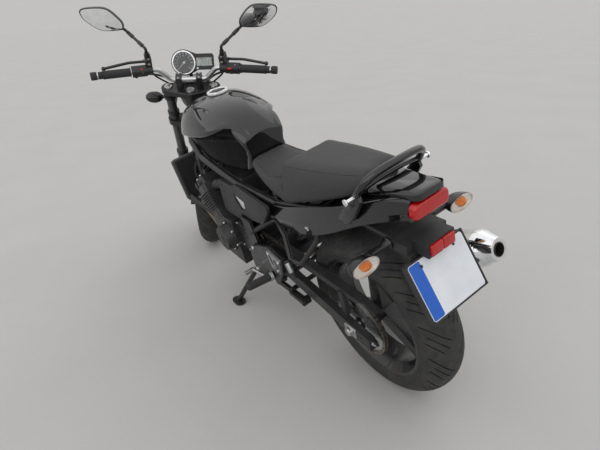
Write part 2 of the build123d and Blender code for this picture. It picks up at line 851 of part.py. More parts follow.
with BuildPart() as front_guard:
    inner = front_tyre_radius + front_guard_gap
    half = front_tyre_width / 2 + 8
    back = radians(guard_back)
    with BuildSketch(Plane(
        origin=front_axle_at.position, x_dir=(0, 1, 0), z_dir=(cos(back), 0, sin(back))
    )):
        with BuildLine():
            low = inner - 44
            ThreePointArc((-half, low), (0, inner + guard_thickness), (half, low))
            Line((half, low), (half - guard_thickness, low))
            ThreePointArc(
                (half - guard_thickness, low), (0, inner), (-half + guard_thickness, low)
            )
            Line((-half + guard_thickness, low), (-half, low))
        make_face()
    revolve(
        axis=Axis(front_axle_at.position, (0, 1, 0)), revolution_arc=guard_front + guard_back,
    )
    # brackets out to the fork sliders
    reach = fork_y - fork_slider_radius - clear
    for side in (1, -1):
        with Locations((fork_offset, side * (half - 2 + reach) / 2, axle_z + low - 6)):
            Box(36, reach - half + 2, 24)

for label, piece in (
    ("front_axle", front_axle), ("fork_tubes", fork_tubes), ("fork_sliders", fork_sliders),
    ("front_calipers", front_calipers), ("lower_yoke", lower_yoke), ("top_yoke", top_yoke),
    ("handlebar", handlebar), ("grips", grips), ("switchgear", switchgear),
    ("levers", levers), ("control_cables", control_cables), ("mirrors", mirrors), ("mirror_glass", mirror_glass),
    ("instruments", instruments), ("headlight", headlight), ("headlight_lens", headlight_lens),
    ("lamp_brackets", lamp_brackets), ("front_indicators", front_indicators),
    ("front_guard", front_guard),
):
    steered[label] = piece.part

# Frame: steering head, rails round the tank, pivot plates, seat rails and cradle

head_low = lower_yoke_z + yoke_thickness + 6 + 1
head_high = top_yoke_z - 1
head_middle = steering_frame.from_local_coords(Vector(0, 0, (head_low + head_high) / 2))
plate_inner = plate_y - pivot_plate_thickness / 2
plate_outer = plate_y + pivot_plate_thickness / 2
cross_tubes = [  # x, z, radius, half length
    (*shock_top, shock_tube_radius, rail_y + 4),
    (*cradle_tube, cradle_tube_radius, plate_outer),
    (-352, 640, 11, rear_rail_y),
    (-600, 707, 11, 80),
    (-815, 762, 11, tail_rail_y),
    (*mount_rear, mount_radius, plate_outer - 1),
    (mount_front[0], mount_front[2], mount_radius, down_y + 18),
]

with BuildPart() as main_frame:
    with BuildSketch(steering_frame.offset(head_low)):
        Circle(head_radius)
    extrude(amount=head_high - head_low)
    add(rod(
        [(head_middle.X, 8, head_middle.Z), (330, 98, 752), (200, rail_y, 706),
         (-110, rail_y, 666), (-350, rear_rail_y, 640)],
        rail_radius, 60,
    ))
    add(rod(
        [(head_middle.X, 8, head_middle.Z), (398, 30, 768), down_knee, down_low, mount_front],
        14, 40,
    ))
    for up in radiator_lugs:
        lug = radiator_core.from_local_coords(Vector(94, up, -radiator_depth / 2 - clear))
        share = (lug.Z - down_low[2]) / (down_knee[2] - down_low[2])
        tube_at = Vector(*down_low) + (Vector(*down_knee) - Vector(*down_low)) * share
        add(rod([tuple(tube_at), (lug.X - 1.2, tube_at.Y, lug.Z)], 7))
    add(rod([(-176, plate_y, 480), (-300, 104, 560), (-600, 84, 704)], 12, 60))
    add(plate(pivot_plate, plate_inner, plate_outer, 14))
    add(rod([(-150, plate_y, 486), (-142, 121, 530), (-112, rail_y, 664)], 11, 30))
    add(rod([(-340, rear_rail_y, 642), (-820, tail_rail_y, 763)], 12))
    add(rod(pillion_loop, 9, 24))
    mirror(about=Plane.XZ)
    for x, z, radius, reach in cross_tubes:
        add(washer(0, 2 * reach, radius, 0, x, z))
    # lugs for the centre stand
    for side in (1, -1):
        with BuildSketch(Plane.XZ.offset(6 - side * lug_y)):
            with Locations(centre_stand_pivot):
                Circle(lug_radius)
            with BuildLine():
                Polyline(
                    (centre_stand_pivot[0] - lug_radius, centre_stand_pivot[1]),
                    (centre_stand_pivot[0] + lug_radius, centre_stand_pivot[1]),
                    (cradle_tube[0] + 13, cradle_tube[1]), (cradle_tube[0] - 13, cradle_tube[1]),
                    close=True,
                )
            make_face()
        extrude(amount=-12)
    # lug for the side stand, on an arm from the cradle tube
    lug_back = stand_pivot_frame.from_local_coords(Vector(0, 0, -15))
    add(rod([(cradle_tube[0], 118, cradle_tube[1] - 4), tuple(lug_back)], 11))
    with BuildSketch(stand_pivot_frame.offset(-26)):
        Circle(side_stand_eye - 2)
    extrude(amount=26 - clear)
    with BuildSketch(stand_pivot_frame.offset(-10)):
        Circle(side_stand_pin)
    extrude(amount=26)
    # bores for the steering stem, the swingarm pivot and the centre stand's shaft
    with Locations(steering_frame.location * Location((0, 0, (head_low + head_high) / 2))):
        Cylinder(stem_radius + 0.05, 300, mode=Mode.SUBTRACT)
    for x, z, radius in (
        (pivot_x, pivot_z, pivot_bolt_radius + 0.05),
        (*centre_stand_pivot, centre_stand_shaft + 0.05),
    ):
        with Locations(Location((x, 0, z), (90, 0, 0))):
            Cylinder(radius, 3 * plate_outer, mode=Mode.SUBTRACT)

# Engine

tilt = radians(cylinder_tilt)
cylinder_frame = Plane(
    origin=(cylinder_foot[0], 0, cylinder_foot[1]), x_dir=(cos(tilt), 0, -sin(tilt)),
    z_dir=(sin(tilt), 0, cos(tilt)),
)

with BuildPart() as engine_block:
    add(plate(case_outline, -crank_half_width, crank_half_width, 18))
    for y_from, y_to in ((gearbox_left, 300), (-300, -gearbox_right)):
        with Locations((gearbox_front - 200, (y_from + y_to) / 2, 400)):
            Box(400, y_to - y_from, 600, mode=Mode.SUBTRACT)
    add(plate(sump_outline, -sump_half_width, sump_half_width, 10))
    # the round side covers, and the cover over the engine's own sprocket
    for (x, z, radius), side in ((alternator, 1), (clutch, -1)):
        base = gearbox_right - 4
        with BuildSketch(Plane.XZ.offset(-side * base)):
            with Locations((x, z)):
                Circle(radius)
        extrude(amount=-side * (crank_half_width - base))
        with BuildSketch(Plane.XZ.offset(-side * crank_half_width)):
            with Locations((x, z)):
                Circle(radius)
        extrude(amount=-side * cover_depth, taper=12)
    for x, z in (mount_rear, (mount_front[0], mount_front[2])):
        with Locations(Location((x, 0, z), (90, 0, 0))):
            Cylinder(mount_radius + 0.05, 500, mode=Mode.SUBTRACT)

with BuildPart() as sprocket_cover:
    add(plate(cover_outline, chain_y + chain_width / 2 + 6, plate_inner - 2, 16))

with BuildPart() as engine_top:
    height = cylinder_height + head_height
    with BuildSketch(cylinder_frame):
        RectangleRounded(cylinder_depth, 2 * top_half_width, 14)
    extrude(amount=height)
    with BuildSketch(cylinder_frame.offset(height)):
        RectangleRounded(cylinder_depth - 8, 2 * top_half_width - 10, 20)
    extrude(amount=cam_cover_height, taper=16)
    with BuildSketch(cylinder_frame.offset(cylinder_height - 8)) as _:
        RectangleRounded(cylinder_depth + 2 * fin_reach, 2 * (top_half_width + fin_reach), 16)
    extrude(amount=fin_thickness)
    for step in range(1, fin_count):
        with BuildSketch(cylinder_frame.offset(cylinder_height - 8 + step * fin_pitch - 44)):
            RectangleRounded(cylinder_depth + 2 * fin_reach, 2 * (top_half_width + fin_reach), 16)
        extrude(amount=fin_thickness)
    # clear of the crankcase that it stands on
    add(plate(case_outline, -crank_half_width - 60, crank_half_width + 60, 18), mode=Mode.SUBTRACT)

with BuildPart() as airbox:
    with Locations(airbox_centre):
        Box(*airbox_size)
    fillet(airbox.edges(), 16)
    back_face = -cylinder_depth / 2 - fin_reach - clear
    intake_z = cylinder_height + head_height - 34
    for y in (-126, -42, 42, 126):
        mouth = cylinder_frame.from_local_coords(Vector(back_face, y, intake_z))
        add(rod(
            [(mouth.X, y, mouth.Z), (mouth.X - 30, y, mouth.Z + 19),
             (airbox_centre[0], y * 0.6, 600)],
            21, 18,
        ))

with BuildPart() as radiator:
    with BuildSketch(radiator_core):
        with Locations((0, radiator_height / 2)):
            RectangleRounded(2 * radiator_half_width, radiator_height, 8)
    extrude(amount=radiator_depth / 2, both=True)
    with BuildSketch(radiator_core.offset(radiator_depth / 2)):
        with Locations((0, radiator_height / 2)):
            Rectangle(2 * radiator_half_width - 60, radiator_height - 24)
    extrude(amount=-6, mode=Mode.SUBTRACT)

# Exhaust

with BuildPart() as exhaust_headers:
    port = cylinder_frame.from_local_coords(
        Vector(cylinder_depth / 2 + fin_reach + clear, 0, cylinder_height + 26)
    )
    for leave, down, under in pipe_route:
        add(rod(
            [(port.X, leave, port.Z), (port.X + 76, leave, port.Z - 47),
             (port.X + 88, down, 300), (292, (down + under) / 2, 168), (176, under, 152),
             (60, under, 152)],
            pipe_radius, 34,
        ))
    with Locations((20, 0, 152)):
        Box(110, 160, 44)
    fillet(exhaust_headers.edges().filter_by(Axis.Y).group_by(Axis.X)[0], 12)
    start, end = Vector(*silencer_start), Vector(*silencer_end)
    into = (end - start).normalized()
    add(rod(
        [(20, -30, 150), (-60, -124, 152), (-150, -182, 176), (-320, -196, 262),
         tuple(start + into * -30), tuple(start + into * 24)],
        24, 44,
    ))

with BuildPart() as silencer:
    along = end - start
    with BuildSketch(Plane(origin=start, x_dir=along, z_dir=(along.Z, 0, -along.X))):
        with BuildLine():
            length = along.length
            Polyline(
                (clear, 24.5), (clear, 28), (60, silencer_radius), (length - 46, silencer_radius),
                (length, outlet_radius + 12), (length, outlet_radius), (length - 90, outlet_radius),
                (length - 90, 0), (30, 0), (30, 24.5),
                close=True,
            )
        make_face()
    revolve(axis=Axis(start, along))

# Fuel tank and its cap


def tank_form(stations):
    """The tank's body: a dome over a crease, and below it the waist for the rider's knees."""
    with BuildPart() as form:
        for x, base, waist, crease, shoulder, top in stations:
            bulge = ((crease[0] + shoulder[0]) / 2 + 9, (crease[1] + shoulder[1]) / 2 + 5)
            with BuildSketch(Plane.YZ.offset(x)) as section:
                with BuildLine():
                    Polyline(crease, waist, base, (-base[0], base[1]), (-waist[0], waist[1]),
                             (-crease[0], crease[1]))
                    ThreePointArc(
                        (-crease[0], crease[1]), (-bulge[0], bulge[1]), (-shoulder[0], shoulder[1])
                    )
                    ThreePointArc((-shoulder[0], shoulder[1]), (0, top), shoulder)
                    ThreePointArc(shoulder, bulge, crease)
                make_face()
                for (y, z), corner in (
                    (base, waist_corner), (waist, waist_corner), (crease, crease_corner),
                    (shoulder, shoulder_corner),
                ):
                    fillet(
                        [v for v in section.vertices() if abs(abs(v.Y) - y) < 1 and abs(v.Z - z) < 1],
                        corner,
                    )
        loft()
    return form.part


def slab_outline(half, base_z, top_z):
    return [
        (-half + 8, base_z), (half - 8, base_z), (half, (base_z + top_z) / 2), (half - 12, top_z),
        (-half + 12, top_z), (-half, (base_z + top_z) / 2),
    ]


with BuildPart() as fuel_tank:
    add(tank_form(tank_stations))
    # boss for the cap, with the ears of its hinge ahead of it
    with BuildSketch(Plane.XY.offset(cap_top - 40)):
        with Locations((cap_x, 0)):
            Circle(cap_boss_radius)
    extrude(amount=40 - cap_thickness - clear)
    for side in (1, -1):
        with Locations((cap_hinge[0], side * 13, cap_hinge[2] - 5)):
            Box(8, 5, 14)
    with Locations(Location(cap_hinge, (90, 0, 0))):
        Cylinder(cap_pin, 28)

with BuildPart() as fuel_cap:
    with BuildSketch(Plane.XY.offset(cap_top - cap_thickness)):
        with Locations((cap_x, 0)):
            Circle(cap_radius)
    extrude(amount=cap_thickness)
    chamfer(fuel_cap.faces().sort_by(Axis.Z)[-1].edges(), 2)
    with Locations((cap_x + cap_radius, 0, cap_hinge[2])):
        Box(2 * (cap_hinge[0] - cap_x - cap_radius), 18, 4)
    with Locations(Location(cap_hinge, (90, 0, 0))):
        Cylinder(cap_knuckle, 20)
        Cylinder(cap_pin + 0.05, 40, mode=Mode.SUBTRACT)

with BuildPart() as seat:
    add(lofted(rider_stations, slab_outline, 10))
    add(lofted(pillion_stations, slab_outline, 10))

with BuildPart() as side_panels:
    add(plate(panel_outline, panel_y, panel_y + panel_thickness, 14))
    add(plate(panel_window, panel_y - 5, panel_y + panel_thickness + 5, 5), mode=Mode.SUBTRACT)
    mirror(about=Plane.XZ)

def cowl_outside(grow=0.0):
    """The tail cowl's outer form, or one grown all round."""
    return lofted(
        [(x, half + grow, base - grow, top + grow) for x, half, base, top in tail_stations],
        slab_outline, 8,
    )


with BuildPart() as tail_cowl:
    add(cowl_outside())
    hollow = [
        (x, half - cowl_wall, base - 40, top - cowl_wall) for x, half, base, top in tail_stations
    ]
    hollow[-1] = (hollow[-1][0] + cowl_wall, *hollow[-1][1:])
    hollow[0] = (hollow[0][0] + 1, *hollow[0][1:])
    add(lofted(hollow, slab_outline, 8), mode=Mode.SUBTRACT)
    # open under the seat
    with BuildSketch(Plane.XY.offset(500)):
        with BuildLine():
            Polyline(*seat_opening, *[(x, -y) for x, y in seat_opening[::-1]], close=True)
        make_face()
    extrude(amount=400, mode=Mode.SUBTRACT)

with BuildPart() as tail_lamp:
    with BuildSketch(Plane.YZ.offset(tail_lamp_at[0] - clear)):
        with Locations((0, tail_lamp_at[1])):
            RectangleRounded(*tail_lamp_size, 14)
    extrude(amount=-16, taper=14)
    with BuildSketch(Plane.YZ.offset(reflector_at[0])):
        with Locations((0, reflector_at[1])):
            RectangleRounded(*reflector_size, 4)
    extrude(amount=-7)

grab_path = [
    (-790, 97, 764), (-846, 114, 836), (-884, 104, 896), (-902, 0, 916), (-884, -104, 896),
    (-846, -114, 836), (-790, -97, 764),
]

with BuildPart() as grab_rail:
    with BuildLine() as hoop:
        FilletPolyline(*grab_path, radius=32)
    with BuildSketch(Plane(origin=hoop.line @ 0, x_dir=(1, 0, 0.6), z_dir=hoop.line % 0)):
        RectangleRounded(*grab_section, 6)
    sweep()
    add(cowl_outside(clear), mode=Mode.SUBTRACT)
    # bungee hooks
    for side in (1, -1):
        with Locations(Location((-858, side * 128, 852), (90, 0, 0))):
            Cylinder(5, 40)

with BuildPart() as rear_mudguard:
    lower = [(x + 4, z - mudguard_wall) for x, z in mudguard_outline]
    add(plate(mudguard_outline + lower[::-1], -mudguard_half_width, mudguard_half_width))
    # lamp box over the number plate, and the block that carries the indicators
    with Locations((reflector_at[0] + clear + 30, 0, reflector_at[1])):
        Box(60, reflector_size[0] + 8, reflector_size[1] + 10)
    with Locations((rear_indicator[0] - 2, 0, rear_indicator[2])):
        Box(56, 2 * indicator_block, 30)
    with BuildSketch(Plane(
        origin=plate_centre, x_dir=(0, -1, 0),
        z_dir=(-cos(radians(plate_tilt)), 0, sin(radians(plate_tilt))),
    ).offset(-17)):
        RectangleRounded(plate_size[0] + 12, plate_size[1] + 10, 8)
    extrude(amount=15 - clear)

with BuildPart() as number_plate:
    with BuildSketch(Plane(
        origin=plate_centre, x_dir=(0, -1, 0),
        z_dir=(-cos(radians(plate_tilt)), 0, sin(radians(plate_tilt))),
    ).offset(-2)):
        RectangleRounded(*plate_size, 8)
    extrude(amount=2)

with BuildPart() as rear_indicators:
    pod_x = rear_indicator[0] + 4
    add(rod(
        [(pod_x, indicator_block + clear, rear_indicator[2]), (pod_x, *rear_indicator[1:])], 8
    ))
    with BuildSketch(Plane.YZ.offset(rear_indicator[0] + 28)):
        with Locations(rear_indicator[1:]):
            RectangleRounded(rear_indicator_size[0] * 0.6, rear_indicator_size[1] * 0.5, 9)
    with BuildSketch(Plane.YZ.offset(rear_indicator[0] - 8)):
        with Locations(rear_indicator[1:]):
            RectangleRounded(*rear_indicator_size, 20)
    loft()
    mirror(about=Plane.XZ)

with BuildPart() as rear_indicator_lenses:
    with BuildSketch(Plane.YZ.offset(rear_indicator[0] - 8 - clear)):
        with Locations(rear_indicator[1:]):
            RectangleRounded(*rear_indicator_size, 20)
    extrude(amount=-16, taper=20)
    mirror(about=Plane.XZ)

# Swingarm, chain and what goes with the rear wheel

axle_at = (rear_axle_x, rear_tyre_radius)
arm_inner = arm_y - arm_width / 2
arm_outer = arm_y + arm_width / 2

with BuildPart() as swingarm:
    half, end_half = arm_height / 2, arm_end_height / 2
    slope = (pivot_z - axle_at[1]) / (pivot_x - axle_at[0])
    with BuildSketch(Plane.XZ.offset(-arm_inner)):
        with Locations((pivot_x, pivot_z)):
            Circle(half)
        with BuildLine():
            tail = axle_at[0] - 88
            Polyline(
                (pivot_x, pivot_z + half), (pivot_x, pivot_z - half),
                (tail, axle_at[1] - 88 * slope - end_half), (tail, axle_at[1] - 88 * slope + end_half),
                close=True,
            )
        make_face()
    extrude(amount=-arm_width)
    mirror(about=Plane.XZ)
    add(washer(0, 2 * arm_inner + 2, pivot_radius, 0, pivot_x, pivot_z))
    brace_z = pivot_z + (brace_x - pivot_x) * slope
    with Locations((brace_x, 0, brace_z)):
        Box(46, 2 * arm_inner + 2, 36)
    for x, z, radius in ((pivot_x, pivot_z, pivot_bolt_radius), (*axle_at, axle_radius)):
        with Locations(Location((x, 0, z), (90, 0, 0))):
            Cylinder(radius + 0.05, 400, mode=Mode.SUBTRACT)
    # threads for a paddock stand's bobbins, from outside
    for side in (1, -1):
        with Locations(Location(
            (bobbin_x, side * (arm_outer - bobbin_depth / 2), bobbin_z), (90, 0, 0)
        )):
            Cylinder(bobbin_radius, bobbin_depth, mode=Mode.SUBTRACT)

with BuildPart() as rear_axle:
    add(washer(0, 2 * arm_outer + 22, axle_radius, 0, *axle_at))
    for side in (1, -1):
        add(washer(side * (arm_outer + 7), 12, axle_radius + 6, 0, *axle_at))

with BuildPart() as pivot_bolt:
    add(washer(0, 2 * plate_outer + 14, pivot_bolt_radius, 0, pivot_x, pivot_z))
    for side in (1, -1):
        add(washer(side * (plate_outer + 4), 7, pivot_bolt_radius + 6, 0, pivot_x, pivot_z))


def chain_loop(grow):
    """The chain's path round both sprockets, grown outwards."""
    with BuildSketch(mode=Mode.PRIVATE) as ends:
        with Locations((rear_axle_x, rear_tyre_radius)):
            Circle(sprocket_radius + grow)
        with Locations(engine_sprocket):
            Circle(engine_sprocket_radius + grow)
    return make_hull(ends.edges(), mode=Mode.PRIVATE)


with BuildPart() as drive_chain:
    for y in (chain_y - chain_width / 2, chain_y + chain_width / 2 - 4):
        with BuildSketch(Plane.XZ.offset(-y)):
            add(chain_loop(chain_height / 2))
            add(chain_loop(-chain_height / 2), mode=Mode.SUBTRACT)
        extrude(amount=-4)
    with BuildSketch(Plane.XZ.offset(chain_width / 2 - 2 - chain_y)):
        add(chain_loop(chain_height / 2))
        add(chain_loop(clear + 3), mode=Mode.SUBTRACT)
    extrude(amount=-chain_width + 4)

with BuildPart() as engine_sprocket_part:
    add(washer(chain_y, sprocket_thickness, engine_sprocket_radius - 2, 0, *engine_sprocket))
    add(washer(
        (gearbox_left + chain_y) / 2, chain_y - gearbox_left - clear, 15, 0, *engine_sprocket
    ))

def arm_top(x):
    """Height of the swingarm's upper edge."""
    fall = (arm_height - arm_end_height) / 2 / (pivot_x - axle_at[0] + 88)
    return pivot_z + half + (x - pivot_x) * (slope + fall)


with BuildPart() as chain_guard:
    add(plate(
        [(-330, 458), (-560, 452), (-790, 448), (-838, 430), (-838, 420), (-790, 440), (-560, 444),
         (-330, 450)],
        chain_y - 11, chain_y + 16,
    ))
    add(plate([(-330, 458), (-560, 452), (-790, 448), (-760, 428), (-350, 424)],
              chain_y + 13, arm_inner + 2))
    # tabs down to the swingarm
    for x in (-392, -690):
        add(plate(
            [(x - 12, 440), (x + 12, 440), (x + 12, arm_top(x + 12) + clear),
             (x - 12, arm_top(x - 12) + clear)],
            chain_y + 13, arm_inner + 9,
        ))

with BuildPart() as rear_shock:
    top = Vector(shock_top[0], 0, shock_top[1])
    foot = Vector(brace_x + 6, 0, brace_z + 18 + 14 + clear)
    shock_line = foot - top
    with BuildSketch(Plane(origin=top, x_dir=shock_line, z_dir=(shock_line.Z, 0, -shock_line.X))):
        with BuildLine():
            n = shock_line.length
            Polyline(
                (shock_tube_radius + 3, 0), (shock_tube_radius + 3, 20), (44, 32), (52, 32),
                (52, 27), (n - 58, 27), (n - 58, 32), (n - 50, 32), (n - 40, 12), (n - 8, 12),
                (n - 8, 0), close=True,
            )
        make_face()
    revolve(axis=Axis(top, shock_line))
    add(washer(0, 30, 14, 0, foot.X, foot.Z))
    add(washer(0, 36, shock_tube_radius + 9, 0, top.X, top.Z))
    with Locations(Location((top.X, 0, top.Z), (90, 0, 0))):
        Cylinder(shock_tube_radius + 0.05, 100, mode=Mode.SUBTRACT)

with BuildPart() as rear_caliper:
    disc_edge = disc_band * 0.65
    seat_at = Location((rear_axle_x, -rear_disc_y, rear_tyre_radius), (0, -rear_caliper_angle, 0))
    radial = rear_disc_radius - disc_edge
    with Locations(seat_at * Location((radial + 5, 0, 0))):
        Box(2 * disc_edge + 14, 2 * rear_caliper_half, 76)
    fillet(rear_caliper.edges().filter_by(Axis.Y), 9)
    with Locations(seat_at * Location((radial - 60 + disc_edge + 5, 0, 0))):
        Box(120, disc_thickness + 10, 120, mode=Mode.SUBTRACT)

# Footrests and foot levers

with BuildPart() as footrest_hangers:
    add(plate(hanger_outline, *hanger_y, 12))
    add(washer(
        (plate_outer + hanger_y[0]) / 2 + clear / 2, hanger_y[0] - plate_outer - clear, 12, 0,
        -192, 424,
    ))
    mirror(about=Plane.XZ)

with BuildPart() as heel_guards:
    with BuildSketch(Plane.XZ.offset(-hanger_y[1] - clear)) as guard_side:
        with BuildLine():
            Polyline(*heel_guard_outline, close=True)
        make_face()
        fillet(guard_side.vertices(), 10)
        for x, z in heel_guard_slots:
            with Locations(Location((x, z), 68)):
                SlotOverall(44, 15, mode=Mode.SUBTRACT)
    extrude(amount=-7)
    mirror(about=Plane.XZ)

with BuildPart() as footrests:
    add(rod(
        [(peg_at[0], hanger_y[1] + clear + 2.2, peg_at[1]), (*peg_end, peg_at[1])], peg_radius
    ))
    add(rod([(-468, 176, 492), (-504, 180, 432)], 10))
    mirror(about=Plane.XZ)

with BuildPart() as foot_levers:
    add(rod(
        [(-299, hanger_y[1] + 10, 323), (-240, hanger_y[1] + 13, 313),
         (-153, hanger_y[1] + 15, 301)],
        6.5, 30,
    ))
    add(washer(hanger_y[1] + 31, 47, 9.5, 0, -150, 300))
    add(washer(hanger_y[1] + 9, 17, 11, 0, -295, 323))
    mirror(about=Plane.XZ)

# Stands

with BuildPart() as side_stand:
    with BuildSketch(stand_pivot_frame):
        Circle(side_stand_eye)
        Circle(side_stand_pin + 0.05, mode=Mode.SUBTRACT)
    extrude(amount=12)
    leg_top = stand_pivot_frame.from_local_coords(Vector(0, 0, side_stand_radius + 1))
    leg_way = (stand_tip - leg_top).normalized()
    leg_start = leg_top + leg_way * (side_stand_eye - 3)
    add(rod([tuple(leg_start), tuple(stand_tip)], side_stand_radius))
    with BuildSketch(Plane(origin=stand_tip, x_dir=(1, 0, 0), z_dir=road.z_dir)):
        SlotOverall(76, 50)
    extrude(amount=-stand_pad)

with BuildPart() as centre_stand:
    x, z = centre_stand_pivot
    add(washer(0, 2 * centre_stand_y + 10, centre_stand_shaft, 0, x, z))
    rise = radians(centre_stand_rise)
    tip = (x - centre_stand_length * cos(rise), z + centre_stand_length * sin(rise))
    for side in (1, -1):
        y = side * centre_stand_y
        add(washer(y, 14, centre_stand_radius + 5, 0, x, z))
        add(rod([(x, y, z), (tip[0], y + side * 16, tip[1])], centre_stand_radius))
        add(washer(y + side * 16, 34, 17, 0, *tip))
    middle = ((x + tip[0]) / 2, (z + tip[1]) / 2)
    add(washer(0, 2 * centre_stand_y, 10, 0, *middle))
    # the tang that the rider's foot treads on
    add(rod(
        [(x - 110, centre_stand_y + 6, z + 20), (x - 180, 158, z + 62), (x - 300, 170, z + 86)],
        8, 30,
    ))

for label, piece in (
    ("main_frame", main_frame), ("engine_block", engine_block), ("engine_top", engine_top),
    ("sprocket_cover", sprocket_cover), ("airbox", airbox), ("radiator", radiator),
    ("exhaust_headers", exhaust_headers), ("silencer", silencer), ("fuel_tank", fuel_tank),
    ("fuel_cap", fuel_cap), ("seat", seat), ("side_panels", side_panels),
    ("tail_cowl", tail_cowl), ("tail_lamp", tail_lamp), ("grab_rail", grab_rail),
    ("rear_mudguard", rear_mudguard), ("number_plate", number_plate),
    ("rear_indicators", rear_indicators), ("rear_indicator_lenses", rear_indicator_lenses),
    ("swingarm", swingarm), ("rear_axle", rear_axle), ("pivot_bolt", pivot_bolt),
    ("drive_chain", drive_chain), ("engine_sprocket", engine_sprocket_part),
    ("chain_guard", chain_guard), ("rear_shock", rear_shock), ("rear_caliper", rear_caliper),
    ("footrest_hangers", footrest_hangers), ("heel_guards", heel_guards),
    ("footrests", footrests),
    ("foot_levers", foot_levers), ("side_stand", side_stand), ("centre_stand", centre_stand),
):
    pieces[label] = piece.part

# Lean, then move the origin to the bottom centre

placed = {label: stance * piece for label, piece in pieces.items()}
placed.update({label: stance * steering_pose * piece for label, piece in steered.items()})
boxes = [piece.bounding_box() for piece in placed.values()]
low = [min(tuple(box.min)[i] for box in boxes) for i in range(3)]
high = [max(tuple(box.max)[i] for box in boxes) for i in range(3)]
shift = Location((-(low[0] + high[0]) / 2, -(low[1] + high[1]) / 2, -low[2]))

os.makedirs("parts", exist_ok=True)
for label, piece in placed.items():
    piece = shift * piece
    piece.label = label
    export_step(piece, f"parts/{label}.step")
print("size", low, high, "lift", lift, "pitch", pitch, "shift", shift.position)
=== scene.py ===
"""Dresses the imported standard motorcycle.

Pieces are made in the machine's own upright frame, in millimetres: x forward from midway
between the axles, y to the rider's left, z up from the road. MACHINE then leans them onto
the side stand, and BARS also turns them with the steering.
"""

from math import asin, atan2, cos, hypot, radians, sin, tau

import bmesh
import bpy
from bpy.props import FloatProperty, FloatVectorProperty, IntProperty, PointerProperty
from bpy.types import Operator, Panel, PropertyGroup
from mathutils import Matrix, Vector, noise


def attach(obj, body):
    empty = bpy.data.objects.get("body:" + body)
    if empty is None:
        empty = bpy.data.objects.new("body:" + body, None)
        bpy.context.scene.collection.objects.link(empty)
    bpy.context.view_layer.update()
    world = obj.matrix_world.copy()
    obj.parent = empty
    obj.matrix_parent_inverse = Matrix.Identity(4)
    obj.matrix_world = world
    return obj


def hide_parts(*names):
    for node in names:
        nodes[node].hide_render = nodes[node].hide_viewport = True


bl_info = {
    "name": "Standard motorcycle",
    "version": (1, 0, 0),
    "blender": (4, 5, 0),
    "location": "View3D > Sidebar > Motorcycle",
    "description": "Dresses the packed motorcycle with its seat, tyres, lamps and finishes",
    "category": "Object",
}

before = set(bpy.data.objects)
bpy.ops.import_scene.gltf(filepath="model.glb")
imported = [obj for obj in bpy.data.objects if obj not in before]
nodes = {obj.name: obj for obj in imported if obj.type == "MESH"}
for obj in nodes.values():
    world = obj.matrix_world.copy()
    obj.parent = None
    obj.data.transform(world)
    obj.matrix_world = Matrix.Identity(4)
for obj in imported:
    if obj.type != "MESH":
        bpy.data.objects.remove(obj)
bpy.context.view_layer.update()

MM = Matrix.Scale(0.001, 4)
MACHINE = MM @ Matrix((
    (0.9999988, 0.0002958, -0.0015215, 35.0850642),
    (0.0, 0.9816272, 0.190809, -176.1527672),
    (0.00155, -0.1908088, 0.981626, 2.8299152),
    (0, 0, 0, 1),
))
BARS = MM @ Matrix((
    (0.7748796, 0.4659397, -0.4271555, 876.0840539),
    (-0.4359369, 0.8832617, 0.1726491, -176.1527672),
    (0.4577342, 0.0524306, 0.8875418, 4.1334518),
    (0, 0, 0, 1),
))
STEERED = ("steering", "front_wheel")
SIDES = (1, -1)


# Frames


def moved(x, y, z):
    """An unturned frame at a point."""
    return Matrix.Translation((x, y, z))


def spun(degrees, axis="Z"):
    """A turn about one axis."""
    return Matrix.Rotation(radians(degrees), 4, axis)


def facing(at, way):
    """A frame at a point with its Z along way."""
    turn = Vector(way).normalized().to_track_quat("Z", "Y")
    return Matrix.Translation(Vector(at)) @ turn.to_matrix().to_4x4()


def side_frame(x, y, z, side=1):
    """A frame on the machine's side: X forward, Y up, Z to that side."""
    return Matrix(((1, 0, 0, x), (0, 0, side, y), (0, 1, 0, z), (0, 0, 0, 1)))


def frame_of(origin, x_way, z_way):
    """A frame from its origin, its Z and about its X."""
    z = Vector(z_way).normalized()
    x = (Vector(x_way) - z * Vector(x_way).dot(z)).normalized()
    turn = Matrix((x, z.cross(x), z)).transposed().to_4x4()
    return Matrix.Translation(Vector(origin)) @ turn


def tilted(origin, degrees, ahead=-1):
    """A frame that looks back, or ahead, from upright by some degrees, with its Y up."""
    lean = radians(degrees)
    return frame_of(origin, (0, -1, 0), (ahead * cos(lean), 0, -ahead * sin(lean)))


BAR_RUN = frame_of((12, 128, 1152), (1, 0, 0.1), (-64, 250, 20))
DIAL = tilted((100, 22, 1122), 33)
LAMP = tilted((150, 0, 900), 25.2, 1)
PLATE = tilted((-1034, 0, 612), 28.7)
SILENCER = frame_of((-470, -209, 350), (0, 0, 1), (-540, -35, 187))
SILENCER_LENGTH = 572.5
AXLES = {"front": (31.822, 0, 316.58), "rear": (-735, 0, 312)}
FORK_X, FORK_Y = 31.8, 102


def hand(side):
    """The bar's outer run on either side, with its Z outwards."""
    return Matrix.Diagonal((1, side, 1, 1)) @ BAR_RUN


# Outlines


def rounded(width, height, radius, steps=4):
    """A rectangle with round corners, as points about its middle."""
    points = []
    for corner, (sx, sy) in enumerate(((1, 1), (-1, 1), (-1, -1), (1, -1))):
        for step in range(steps + 1):
            angle = radians(90 * corner + 90 * step / steps)
            points.append((
                sx * (width / 2 - radius) + radius * cos(angle),
                sy * (height / 2 - radius) + radius * sin(angle),
            ))
    return points


def ring_of(count, radius, start=0.0):
    """Points evenly round a circle."""
    angles = [start + tau * k / count for k in range(count)]
    return [(radius * cos(angle), radius * sin(angle)) for angle in angles]


